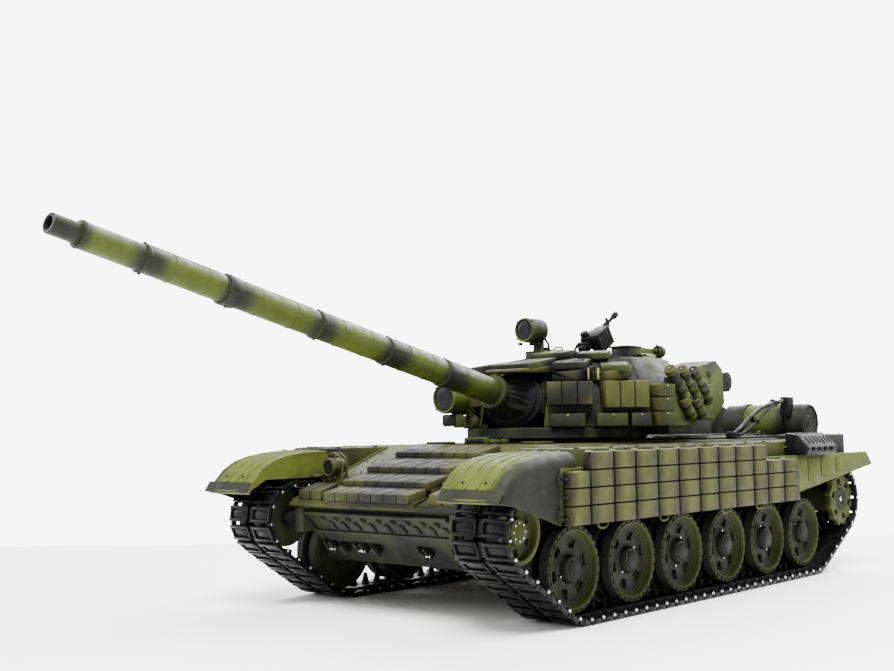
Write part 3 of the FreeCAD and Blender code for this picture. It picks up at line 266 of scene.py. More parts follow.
@dataclass(frozen=True)
class Metal:
    """Bare or blackened metal with rubbed edges and a film of dirt."""

    name: str
    colour: Point = (0.0085, 0.0085, 0.0090)
    bright: Point = (0.07, 0.07, 0.068)
    metallic: float = 0.6
    rough: float = 0.42
    wear: float = 0.35
    slot: str = "track_metal"

    def material(self) -> bpy.types.Material:
        """Build the metal's node tree."""
        graph = Graph(self.name)
        graph.shader.inputs["Metallic"].default_value = self.metallic
        tone = graph.speckle(0.0, 1.0, 140.0, 5.0)
        dirty = tuple(part * 0.55 for part in self.colour)
        colour = graph.mix(tone, rgba(dirty), rgba(self.colour))
        graph.shader.inputs["Specular IOR Level"].default_value = 0.08
        rubbed = graph.math("MULTIPLY", graph.edges(), self.wear)
        colour = graph.mix(rubbed, colour, rgba(self.bright))
        graph.join(colour, graph.shader.inputs["Base Color"])
        graph.join(graph.speckle(self.rough - 0.1, self.rough + 0.15, 300.0, 4.0),
                   graph.shader.inputs["Roughness"])
        graph.bump(graph.grain(900.0, 4.0), 0.2, 0.0002)
        return graph.material


@dataclass(frozen=True)
class Rubber:
    """Matt rubber or soft plastic with fine pits."""

    name: str
    colour: Point = (0.035, 0.037, 0.03)
    rough: float = 0.72
    slot: str = "dark_rubber"

    def material(self) -> bpy.types.Material:
        """Build the rubber's node tree."""
        graph = Graph(self.name)
        tone = graph.speckle(0.0, 1.0, 110.0, 4.0)
        dusty = tuple(part * 1.5 + 0.001 for part in self.colour)
        graph.join(graph.mix(tone, rgba(self.colour), rgba(dusty)), graph.shader.inputs["Base Color"])
        graph.join(graph.speckle(self.rough - 0.1, self.rough + 0.1, 500.0),
                   graph.shader.inputs["Roughness"])
        graph.shader.inputs["Specular IOR Level"].default_value = LOW_GLOSS
        graph.bump(graph.grain(1600.0, 2.0), 0.25, 0.0002)
        return graph.material


@dataclass(frozen=True)
class Canvas:
    """Black proofed canvas: a plain weave in the piece's own UV map, creased and dusty."""

    name: str = "black_canvas"
    colour: Point = (0.0026, 0.0028, 0.0026)
    threads: float = 260.0
    slot: str = "canvas"

    def material(self) -> bpy.types.Material:
        """Build the canvas's node tree."""
        graph = Graph(self.name)
        weave_map = graph.add("ShaderNodeUVMap", uv_map="UVMap").outputs[0]
        warp = graph.add("ShaderNodeTexWave", {"Vector": weave_map, "Scale": self.threads},
                         bands_direction="X").outputs["Fac"]
        weft = graph.add("ShaderNodeTexWave", {"Vector": weave_map, "Scale": self.threads * 0.35},
                         bands_direction="Y").outputs["Fac"]
        weave = graph.math("MULTIPLY", warp, weft)
        dust = graph.spread(graph.grain(120.0, 5.0), 0.35, 0.75, 0.0, 0.55)
        faded = tuple(part * 2.6 for part in self.colour)
        colour = graph.mix(dust, rgba(self.colour), rgba(faded))
        colour = graph.mix(graph.math("MULTIPLY", weave, 0.3), colour, rgba((0.004, 0.0043, 0.004)))
        graph.join(colour, graph.shader.inputs["Base Color"])
        graph.shader.inputs["Roughness"].default_value = 0.62
        graph.shader.inputs["Specular IOR Level"].default_value = 0.1
        graph.bump(graph.math("ADD", weave, graph.math("MULTIPLY", graph.grain(260.0), 2.0)), 0.35, 0.0003)
        return graph.material


@dataclass(frozen=True)
class Lens:
    """Dark lamp glass with a mottled tone and fine bumps."""

    name: str = "lamp_glass"
    colour: Point = (0.0055, 0.006, 0.0055)
    slot: str = "dark_plastic"

    def material(self) -> bpy.types.Material:
        """Build the glass's node tree."""
        graph = Graph(self.name)
        tone = graph.speckle(0.0, 1.0, 60.0, 2.0)
        deep = tuple(part * 0.6 for part in self.colour)
        graph.join(graph.mix(tone, rgba(deep), rgba(self.colour)), graph.shader.inputs["Base Color"])
        graph.join(graph.speckle(0.30, 0.42, 400.0), graph.shader.inputs["Roughness"])
        graph.shader.inputs["Specular IOR Level"].default_value = 0.1
        graph.shader.inputs["Coat Weight"].default_value = 0.02
        graph.bump(graph.grain(300.0, 1.0), 0.06, 0.0002)
        return graph.material


COLUMN_EDGES = (-165.5, -148.3, -127.2, -107.0, -85.2, -63.6, -41.4, -20.0, 0.7, 22.7, 40.9, 62.6, 84.5)


def column_shade_bands() -> tuple[tuple[float, float], ...]:
    """Painted shade along the skirt: each block column is light in its middle and dark at its gaps, where
    shade falls.
    """
    stops = []
    for number, (front, rear) in enumerate(zip(COLUMN_EDGES, COLUMN_EDGES[1:])):
        stops.append((front - COLUMN_EDGES[0], 0.85))
        lead = 0.52 if number % 3 else 0.36
        stops.append((front + (rear - front) * lead - COLUMN_EDGES[0], 0.05 + 0.12 * (number % 2)))
    return (*stops, (COLUMN_EDGES[-1] - COLUMN_EDGES[0], 0.85))


GUN_RISE = math.radians(13)
TRUNNION = Vector((0.0, -52.0, 116.6))
GUN_LINE = Vector((0.0, -math.cos(GUN_RISE), math.sin(GUN_RISE)))
GUN_REACH = 336.5
GUN_BANDS = ((0, 1.0), (16, 0.9), (22, 0.0), (36, 0.0), (44, 0.95), (54, 0.9), (64, 0.05), (88, 0.0),
             (97, 0.95),
             (106, 0.95), (116, 0.05), (146, 0.0), (156, 0.95), (163, 0.9), (174, 0.05), (198, 0.05),
             (208, 0.95),
             (218, 0.95), (230, 0.1), (247, 0.1), (258, 0.95), (270, 0.9), (283, 0.1), (298, 0.4),
             (312, 0.95),
             (336, 0.95))

HULL_PAINT = Paint("hull_paint", light=(0.032, 0.039, 0.0080), bias=0.52, shift=(0.02, 0.05, 0.0))
TURRET_PAINT = Paint("turret_paint", bias=0.49, patch=16.0, shift=(0.3, 0.11, 0.0))
BLOCK_PAINT = Paint("block_paint", light=KHAKI, bias=0.56, patch=22.0, soft=0.09)
GLACIS_PAINT = Paint("glacis_paint", light=(0.032, 0.035, 0.0088), bias=0.52, patch=20.0, soft=0.1)
# The skirt's dark colour and its bands are painted shade at the gaps between block columns.
SKIRT_PAINT = Paint("skirt_paint", light=(0.050, 0.053, 0.0090), dark=(0.0105, 0.0095, 0.0066),
                    bands=column_shade_bands(), band_start=(0, COLUMN_EDGES[0], 0),
                    band_end=(0, COLUMN_EDGES[-1], 0))
PLATE_PAINT = Paint("side_plate_paint", light=(0.052, 0.068, 0.0075), bias=0.62, patch=10.0,
                    shift=(0.0, 0.2, 0.0))
BOW_PAINT = Paint("bow_paint", light=(0.0155, 0.0180, 0.0075), bias=0.5, patch=30.0, rough=0.55)
WHEEL_PAINT = Paint("wheel_paint", light=(0.034, 0.043, 0.0075), dark=(0.0145, 0.0160, 0.0090),
                    slot="wheel_paint",
                    bands=((0, 0.0), (4.2, 0.1), (5.4, 1.0), (12, 0.8), (183, 0.8), (189.6, 1.0),
                           (190.8, 0.1),
                           (195, 0.0)), band_start=(-97.5, 0, 0), band_end=(97.5, 0, 0), wander=0.012)
GUN_PAINT = Paint("gun_paint", bands=GUN_BANDS, band_start=tuple(TRUNNION + GUN_LINE * GUN_REACH),
                  band_end=tuple(TRUNNION), rough=0.5)
GUARD_PAINT = Paint("guard_paint", light=(0.064, 0.084, 0.0085), wander=0.02,
                    bands=((0, 1.0), (5, 0.9), (11, 0.05), (40, 0.25), (44, 0.0), (180, 0.0), (184, 0.25),
                           (213, 0.05),
                           (219, 0.9), (224, 1.0)), band_start=(-112, 0, 0), band_end=(112, 0, 0))
DRUM_PAINT = Paint("drum_paint", bands=((0, 1.0), (22, 0.9), (32, 0.0), (58, 0.1), (66, 0.95), (84, 0.9),
                                        (96, 0.1),
                                        (110, 0.2), (122, 0.95), (140, 1.0)), band_start=(-70, 205, 103),
                   band_end=(70, 205, 103))
SLAB_PAINT = Paint("slab_paint", light=(0.030, 0.040, 0.0065), patch=24.0, bias=0.54)
FLAP_PAINT = Paint("flap_paint", light=(0.023, 0.029, 0.0075), dark=(0.011, 0.012, 0.0075), patch=26.0,
                   bias=0.5)
CLIP_PAINT = Paint("clip_paint", light=(0.1764, 0.1890, 0.0660), dark=(0.1260, 0.1344, 0.0540))
DARK_PAINT = Paint("shaded_paint", light=(0.013, 0.0145, 0.0070), dark=(0.0085, 0.009, 0.0060), patch=25.0,
                   bias=0.5)
TRACK_METAL = Metal("track_metal")
PIN_METAL = Metal("pin_metal", colour=(0.62, 0.62, 0.6), bright=(0.9, 0.9, 0.88), metallic=1.0, rough=0.25,
                  slot="gear_metal")
ARM_METAL = Metal("arm_metal", colour=(0.014, 0.016, 0.009), metallic=0.2, rough=0.55, slot="arm_metal")
BLACK_PLASTIC = Metal("black_plastic", colour=(0.0055, 0.0058, 0.0058), bright=(0.012, 0.0125, 0.0125),
                      metallic=0.0,
                      rough=0.5, wear=0.12, slot="dark_plastic")
TYRE_RUBBER = Rubber("tyre_rubber", colour=(0.0135, 0.0150, 0.0095))
GROOVE_RUBBER = Rubber("groove_rubber", colour=(0.003, 0.003, 0.0028))
BOARD_PLASTIC = Rubber("circuit_green", colour=(0.02, 0.09, 0.04), rough=0.4, slot="electronics")
CELL_PLASTIC = Rubber("battery_wrap", colour=(0.03, 0.035, 0.05), rough=0.35, slot="electronics")
BLACK_CANVAS = Canvas()
LAMP_GLASS = Lens()
Finish = Paint | Metal | Rubber | Canvas | Lens
_MIXED: dict[str, bpy.types.Material] = {}


def coat(finish: Finish) -> bpy.types.Material:
    """Return a finish's material, built once."""
    if finish.name not in _MIXED:
        _MIXED[finish.name] = finish.material()
    return _MIXED[finish.name]


# ------------------------------------------------------------------ meshes


def turn_to(direction: Vector) -> Matrix:
    """Turn +Z to a direction."""
    return direction.to_track_quat("Z", "Y").to_matrix().to_4x4()


class Shape:
    """A mesh in the making, in millimetres from the middle of the hull."""

    def __init__(self) -> None:
        """Start with nothing."""
        self.bm = bmesh.new()
        self.finishes: list[Finish] = []

    def take(self, part: bmesh.types.BMesh, finish: Finish, move: Matrix | None = None,
             sharp: float = 35.0) -> None:
        """Add a finished part to the shape.

        Args:
            part: the part's mesh, which is used up.
            finish: what the part is made of or painted with.
            move: where the part goes.
            sharp: edges that turn more than this many degrees stay sharp.
        """
        if finish not in self.finishes:
            self.finishes.append(finish)
        index = self.finishes.index(finish)
        if move is not None:
            bmesh.ops.transform(part, matrix=move, verts=part.verts)
            if move.determinant() < 0:
                bmesh.ops.reverse_faces(part, faces=part.faces)
        for face in part.faces:
            face.material_index = index
            face.smooth = True
        for edge in part.edges:
            edge.smooth = len(edge.link_faces) == 2 and edge.calc_face_angle(0.0) < math.radians(sharp)
        mesh = meshed(part, "part")
        self.bm.from_mesh(mesh)
        bpy.data.meshes.remove(mesh)

    def block(self, low: Point, high: Point, finish: Finish, edge: float = 0.3,
              turn: Matrix | None = None) -> None:
        """Add a box between two corners with its edges rounded, turned about its middle if asked."""
        size = Vector([abs(run) for run in Vector(high) - Vector(low)])
        part = bmesh.new()
        bmesh.ops.create_cube(part, size=1.0)
        bmesh.ops.scale(part, vec=size, verts=part.verts)
        round_off(part, min(edge, min(size) * 0.4))
        middle = Matrix.Translation((Vector(low) + Vector(high)) / 2)
        self.take(part, finish, middle @ (turn or Matrix.Identity(4)))

    def slab(self, middle: Vector, half: Point, finish: Finish, edge: float = 0.3,
             turn: Matrix | None = None) -> None:
        """Add a box by its middle and half its size."""
        self.block(middle - Vector(half), middle + Vector(half), finish, edge, turn)

    def rod(self, start: Point, end: Point, radius: float, finish: Finish, end_radius: float | None = None,
            sides: int = 24, edge: float = 0.2) -> None:
        """Add a straight rod or cone between two points, with its ends rounded."""
        run = Vector(end) - Vector(start)
        part = bmesh.new()
        bmesh.ops.create_cone(part, cap_ends=True, segments=sides, radius1=radius,
                              radius2=radius if end_radius is None else end_radius, depth=run.length)
        if edge:
            rims = [item for item in part.edges if item.calc_face_angle(0.0) > math.radians(50)]
            bmesh.ops.bevel(part, geom=rims, offset=edge, affect="EDGES", segments=2, profile=0.5,
                            material=-1)
        self.take(part, finish, Matrix.Translation((Vector(start) + Vector(end)) / 2) @ turn_to(run))

    def turned(self, section: Sequence[Point], centre: Point, axis: Vector, finish: Finish, steps: int = 48,
               shape_up: Callable[[bmesh.types.BMesh], None] | None = None) -> None:
        """Spin a section of (distance along, radius) about an axis.

        Args:
            section: the outline, from one end of the axis to the other, or closed on itself.
            centre: the point that distances start from.
            axis: the direction that distances run in.
            finish: what it is made of.
            steps: sides of the round.
            shape_up: what else is done to the mesh, before it is moved into place.
        """
        part = spun(section, steps)
        if shape_up is not None:
            shape_up(part)
        self.take(part, finish, Matrix.Translation(Vector(centre)) @ turn_to(axis))

    def bolts(self, places: Iterable[Point], normal: Vector, finish: Finish, radius: float = 0.75,
              height: float = 0.55) -> None:
        """Add hexagonal bolt heads that stand on a surface."""
        for place in places:
            foot = Vector(place)
            self.rod(foot - normal * 0.2, foot + normal * height, radius, finish, radius * 0.85, sides=6,
                     edge=0)

    def tube(self, points: Sequence[Point], radius: float, finish: Finish, sides: int = 4) -> None:
        """Add a bent round bar through points."""
        curve = bpy.data.curves.new("bar", "CURVE")
        curve.dimensions = "3D"
        curve.bevel_depth = radius
        curve.bevel_resolution = sides
        curve.use_fill_caps = True
        line = curve.splines.new("NURBS")
        line.points.add(len(points) - 1)
        for knot, point in zip(line.points, points):
            knot.co = (*point, 1.0)
        line.order_u = 3
        line.use_endpoint_u = True
        holder = bpy.data.objects.new("bar", curve)
        mesh = bpy.data.meshes.new_from_object(holder)
        part = bmesh.new()
        part.from_mesh(mesh)
        bmesh.ops.recalc_face_normals(part, faces=part.faces)
        self.take(part, finish)
        bpy.data.objects.remove(holder)
        bpy.data.curves.remove(curve)
        bpy.data.meshes.remove(mesh)

    def node(self, name: str, finish: Finish, edge: float = 0.3, angle: float = 32.0,
             sharp: float = 35.0) -> None:
        """Add a copy of a frame node with its edges rounded.

        Args:
            name: the node.
            finish: what it is made of.
            edge: width of the rounding.
            angle: edges that turn more than this many degrees are rounded.
            sharp: edges that turn more than this many degrees stay sharp.
        """
        part = bmesh.new()
        part.from_mesh(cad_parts[name].data)
        bmesh.ops.remove_doubles(part, verts=part.verts, dist=1e-6)
        bmesh.ops.scale(part, vec=Vector((1, 1, 1)) / MM, verts=part.verts)
        bmesh.ops.translate(part, vec=Vector((0, -HULL_MIDDLE, 0)), verts=part.verts)
        bmesh.ops.dissolve_limit(part, angle_limit=math.radians(0.8), verts=part.verts, edges=part.edges)
        if edge:
            round_off(part, edge, angle)
        self.take(part, finish, sharp=sharp)

    def piece(self, name: str, body: str, *replaces: str) -> bpy.types.Object:
        """Turn the shape into a piece that rides on a body.

        Args:
            name: the piece's name.
            body: the frame body that carries it.
            replaces: frame nodes that it stands for.

        Returns:
            The new object.
        """
        bmesh.ops.translate(self.bm, vec=Vector((0, HULL_MIDDLE, 0)), verts=self.bm.verts)
        bmesh.ops.scale(self.bm, vec=Vector((MM, MM, MM)), verts=self.bm.verts)
        mesh = meshed(self.bm, name)
        made = placed(name, mesh)
        for finish in self.finishes:
            mesh.materials.append(coat(finish))
        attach(made, body)
        if replaces:
            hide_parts(*replaces)
        LOG.info("%s: %d faces on %s", name, len(mesh.polygons), body)
        return made


def round_off(part: bmesh.types.BMesh, width: float, angle: float = 32.0) -> None:
    """Round every edge of a mesh that turns more than an angle in degrees."""
    edges = [edge for edge in part.edges
             if len(edge.link_faces) == 2 and edge.calc_face_angle(0.0) > math.radians(angle)]
    if edges and width > 0:
        bmesh.ops.bevel(part, geom=edges, offset=width, affect="EDGES", segments=2, profile=0.5,
                        material=-1)


def spun(section: Sequence[Point], steps: int) -> bmesh.types.BMesh:
    """Spin an outline of (distance along Z, radius) into a mesh with outward faces."""
    part = bmesh.new()
    knots = [part.verts.new((radius, 0.0, along)) for along, radius in section]
    for first, second in zip(knots, knots[1:]):
        part.edges.new((first, second))
    bmesh.ops.spin(part, geom=part.verts[:] + part.edges[:], cent=(0, 0, 0), axis=(0, 0, 1), angle=math.tau,
                   steps=steps, use_merge=True)
    bmesh.ops.remove_doubles(part, verts=part.verts, dist=1e-4)
    bmesh.ops.recalc_face_normals(part, faces=part.faces)
    return part


def placed(name: str, data: bpy.types.ID) -> bpy.types.Object:
    """Make an object of some data and link it to the scene."""
    made = bpy.data.objects.new(name, data)
    bpy.context.scene.collection.objects.link(made)
    return made


def meshed(part: bmesh.types.BMesh, name: str) -> bpy.types.Mesh:
    """Turn a mesh in the making, which is used up, into mesh data."""
    mesh = bpy.data.meshes.new(name)
    part.to_mesh(mesh)
    part.free()
    return mesh


def extruded(outline: Sequence[Point], start: float, depth: float) -> bmesh.types.BMesh:
    """Extrude an outline of (y, z) along X from a start, with outward faces."""
    part = bmesh.new()
    face = part.faces.new([part.verts.new((start, y, z)) for y, z in outline])
    made = bmesh.ops.extrude_face_region(part, geom=[face])
    moved = [item for item in made["geom"] if isinstance(item, bmesh.types.BMVert)]
    bmesh.ops.translate(part, vec=Vector((depth, 0, 0)), verts=moved)
    bmesh.ops.recalc_face_normals(part, faces=part.faces)
    return part


def spokes(count: int) -> list[Vector]:
    """Unit vectors evenly round the X axis."""
    return [Vector((0, math.cos(math.tau * i / count),
                    math.sin(math.tau * i / count))) for i in range(count)]


# ------------------------------------------------------------------ running gear


@dataclass
class RoadWheel:
    """Dished twin wheel with notched tyres, six pockets and a bolted hub cap."""

    side: Side
    number: int
    steps: int = 84
    pockets: int = 6
    notches: int = 28

    def disc(self, part: bmesh.types.BMesh) -> None:
        """Sink the pockets between the spokes."""
        for number in range(self.pockets):
            middle = math.tau * (number + 0.25) / self.pockets
            faces = []
            for face in part.faces:
                spot = face.calc_center_median()
                turn = (math.atan2(spot.y, spot.x) - middle + math.pi) % math.tau - math.pi
                if abs(turn) < math.radians(13.5) and 10.4 < math.hypot(spot.x,
                                                                        spot.y) < 16.4 and spot.z > 3:
                    faces.append(face)
            bmesh.ops.inset_region(part, faces=faces, thickness=0.5, depth=0.0, use_even_offset=True)
            bmesh.ops.inset_region(part, faces=faces, thickness=0.35, depth=-2.2, use_even_offset=True)

    def tread(self, part: bmesh.types.BMesh) -> None:
        """Cut the notches into the tyre's outer face."""
        ring = [face for face in part.faces
                if face.normal.z > 0.9 and 21 < math.hypot(*face.calc_center_median()[:2]) < 22.6]
        ring.sort(key=lambda face: math.atan2(face.calc_center_median().y, face.calc_center_median().x))
        for face in ring[::max(1, len(ring) // self.notches)]:
            bmesh.ops.inset_region(part, faces=[face], thickness=0.25, depth=-0.7, use_even_offset=True)

    def build(self) -> None:
        """Make the wheel and its tyres on the wheel's own body."""
        name = f"road_wheel_{self.side.word}_{self.number}"
        centre = middle_of(name)
        centre.x = self.side.value * TRACK_CENTRE
        axis = LEFT * self.side.value
        wheel = Shape()
        wheel.turned([(8.9, 0), (8.9, 3.6), (8.5, 4.6), (7.9, 4.9), (7.9, 6.2), (7.5, 6.8), (4.8, 7.6),
                      (4.3, 9.2),
                      (4.2, 10.2), (4.2, 11.6), (4.1, 13.2), (4.1, 14.8), (4.1, 16.6), (4.9, 17.4),
                      (5.1, 18.6),
                      (5.9, 18.9), (6.1, 19.6), (8.5, 19.9), (8.9, 20.2), (8.9, 20.7), (8.3, 20.9),
                      (2.6, 20.9),
                      (2.6, 14), (-2.6, 14), (-2.6, 20.9), (-8.4, 20.9), (-8.6, 19.6), (-5, 19), (-5, 9),
                      (-8, 7), (-8, 3.1), (5, 3.1), (5, 0)],
                     centre, axis, WHEEL_PAINT, self.steps, self.disc)
        wheel.turned([(9.0, 0), (9.0, 3.5), (8.6, 4.7), (8.1, 5.0), (8.1, 6.3), (7.6, 6.9), (4.9, 7.8),
                      (4.4, 7.8), (4.4, 0)], centre, axis, DARK_PAINT,
                     40)
        wheel.turned([(8.4, 20.8), (8.6, 21), (8.6, 22.6), (8.2, 23), (3, 23), (2.6, 22.6), (2.6, 20.8),
                      (8.4, 20.8)],
                     centre, axis, TYRE_RUBBER, self.steps, self.tread)
        wheel.turned([(-2.6, 20.8), (-2.6, 22.6), (-3, 23), (-8.2, 23), (-8.6, 22.6), (-8.6, 20.8),
                      (-2.6, 20.8)],
                     centre, axis, TYRE_RUBBER, self.steps)
        spin = Matrix.Rotation(math.radians(23) * self.side.value * self.number, 4, LEFT)
        ring = [spin @ out for out in spokes(self.pockets)]
        face = centre + axis * 7.9
        wheel.bolts([face + out * 5.6 for out in ring], axis, WHEEL_PAINT, 0.55, 0.5)
        for out in (ring[0], ring[3]):
            foot = centre + axis * 4.4 + out * 8.5
            wheel.rod(foot, foot + axis * 1.3, 0.8, PIN_METAL, 0.6, sides=12, edge=0.15)
        wheel.piece(f"{name}_dressed", f"wheel_{self.side.word}_{self.number}", name)


@dataclass
class Track:
    """Chain of cast links: framed pads, hinge barrels, a guide horn and bright pin heads."""

    side: Side
    half_pitch: float = 5.15
    pin_reach: float = 18.5
    outer: float = 3.15
    inner: float = 1.35

    def pins(self) -> list[Vector]:
        """Pin centres in order round the loop, read from the frame's own links."""
        part = bmesh.new()
        part.from_mesh(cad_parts[f"track_{self.side.word}"].data)
        bmesh.ops.remove_doubles(part, verts=part.verts, dist=1e-6)
        edge_x = max(abs(vert.co.x) for vert in part.verts) - 1e-5
        seen: set[int] = set()
        centres = []
        ends = [vert for vert in part.verts if abs(vert.co.x) > edge_x]
        for vert in ends:
            if vert.index in seen:
                continue
            cap, queue = [], [vert]
            seen.add(vert.index)
            while queue:
                here = queue.pop()
                cap.append(here)
                for edge in here.link_edges:
                    other = edge.other_vert(here)
                    if other.index not in seen and abs(other.co.x) > edge_x:
                        seen.add(other.index)
                        queue.append(other)
            low = [min(item.co[axis] for item in cap) for axis in (1, 2)]
            high = [max(item.co[axis] for item in cap) for axis in (1, 2)]
            centres.append(Vector((0, (low[0] + high[0]) / 2 / MM - HULL_MIDDLE,
                                   (low[1] + high[1]) / 2 / MM)))
        part.free()
        middle = sum(centres, Vector()) / len(centres)
        chain = [centres.pop(0)]
        while centres:
            here = chain[-1]
            if len(chain) == 1:
                ahead = [item for item in centres if (item - here).cross(middle - here).x > 0]
                nearest = min(ahead, key=lambda item: (item - here).length)
            else:
                nearest = min(centres, key=lambda item: (item - here).length)
            centres.remove(nearest)
            chain.append(nearest)
        return chain

    def link(self) -> Shape:
        """One link at the origin: pin line along X half a pitch ahead, ground side down."""
        link = Shape()
        link.block((-17.6, -4.3, -1.6), (17.6, 4.3, -0.2), TRACK_METAL, 0.3)
        for sign in (1, -1):
            for x0, x1, y0, y1, z0, z1, edge in (
                    (1.9, 17.9, -4.6, -2.9, -self.outer, -0.6, 0.35),
                    (1.9, 17.9, 2.9, 4.6, -self.outer, -0.6, 0.35),
                    (1.9, 3.2, -3.2, 3.2, -2.8, -0.6, 0.3), (16.4, 17.9, -3.2, 3.2, -2.8, -0.6, 0.3),
                    (4.6, 15.2, -1.9, 1.9, -2.2, -1.0, 0.4), (1.5, 10.4, -4.2, 4.2, -0.3, self.inner, 0.3)):
                link.block((sign * x0, y0, z0), (sign * x1, y1, z1), TRACK_METAL, edge)
            for x0, x1, radius, finish, end_radius in (
                    (4.2, 10, 1.35, TRACK_METAL, None), (15.6, 17.9, 1.5, TRACK_METAL, None),
                    (17.2, self.pin_reach, 0.95, PIN_METAL, 0.75)):
                link.rod((sign * x0, -self.half_pitch, 0), (sign * x1, -self.half_pitch, 0), radius, finish,
                         end_radius, sides=12)
        link.rod((0, 0, self.inner - 0.3), (0, 0, self.inner + 6.8), 2.6, TRACK_METAL, 1.1, sides=8,
                 edge=0.4)
        return link

    def build(self) -> None:
        """Lay every link between its two pins."""
        pins = self.pins()
        pattern = self.link()
        mesh = bpy.data.meshes.new("link")
        pattern.bm.to_mesh(mesh)
        chain = Shape()
        chain.finishes = pattern.finishes
        for here, ahead in zip(pins, pins[1:] + pins[:1]):
            run = (ahead - here).normalized()
            inward = LEFT.cross(run)
            turn = Matrix((LEFT, run, inward)).transposed().to_4x4()
            spot = (here + ahead) / 2 + LEFT * TRACK_CENTRE * self.side.value
            copy = mesh.copy()
            copy.transform(Matrix.Translation(spot) @ turn)
            chain.bm.from_mesh(copy)
            bpy.data.meshes.remove(copy)
        bpy.data.meshes.remove(mesh)
        pattern.bm.free()
        chain.piece(f"track_{self.side.word}_links", "hull", f"track_{self.side.word}")


@dataclass
class RunningGear:
    """Wheels, arms, sprockets, idlers and tracks of both sides."""

    wheels: int = 6

    def sprocket(self, side: Side) -> None:
        """Toothed rings with their bolts and cap."""
        name = f"drive_sprocket_{side.word}"
        centre = Vector((side.value * TRACK_CENTRE, *SPROCKET_PLACE))
        axis = LEFT * side.value
        gear = Shape()
        gear.node(name, WHEEL_PAINT, 0.25)
        face = centre + axis * 14.8
        gear.bolts([face + out * 9.2 for out in spokes(12)], axis, WHEEL_PAINT, 0.7, 0.6)
        gear.turned([(13.2, 0), (13.2, 7.2), (14.6, 7.0), (14.8, 5.2), (14.2, 4.4), (14.2, 0)], centre,
                    axis,
                    DARK_PAINT, 36)
        gear.rod(centre + axis * 14.0, centre + axis * 14.8, 1.8, PIN_METAL, sides=12)
        gear.piece(f"{name}_dressed", f"sprocket_{side.word}", name)

    def idler(self, side: Side) -> None:
        """Front guide wheel with its bolts."""
        name = f"idler_wheel_{side.word}"
        wheel = Shape()
        wheel.node(name, WHEEL_PAINT, 0.25)
        centre = middle_of(name)
        axis = LEFT * side.value
        centre.x = side.value * TRACK_CENTRE
        wheel.bolts([centre + axis * 8.8 + out * 4.6 for out in spokes(8)], axis, PIN_METAL, 0.5, 0.4)
        wheel.piece(f"{name}_dressed", f"idler_{side.word}", name)

    def build(self) -> None:
        """Make all of it."""
        for side in Side:
            for number in range(1, self.wheels + 1):
                RoadWheel(side, number).build()
                arm = Shape()
                arm.node(f"swing_arm_{side.word}_{number}", ARM_METAL, 0.3)
                arm.piece(f"swing_arm_{side.word}_{number}_cast", f"arm_{side.word}_{number}",
                          f"swing_arm_{side.word}_{number}")
            self.sprocket(side)
            self.idler(side)
            Track(side).build()
        rollers = Shape()
        rollers.node("return_rollers", WHEEL_PAINT, 0.3)
        rollers.piece("return_rollers_turned", "hull", "return_rollers")


# ------------------------------------------------------------------ hull


def on_glacis(x: float, y: float, lift: float = 0.0) -> Vector:
    """Point on the sloping front plate, lifted along its normal."""
    rise = math.tan(GLACIS_SLOPE)
    normal = Vector((0, -math.sin(GLACIS_SLOPE), math.cos(GLACIS_SLOPE)))
    return Vector((x, y, NOSE_Z + (y - NOSE_Y) * rise)) + normal * lift


GLACIS_SLOPE = math.radians(20.5)
TILT_GLACIS = Matrix.Rotation(GLACIS_SLOPE, 4, "X")
PLATE_OUTER = 112.0
SKIRT_OUTER = 118.0
ROW_EDGES = (62.6, 71.5, 80.3)


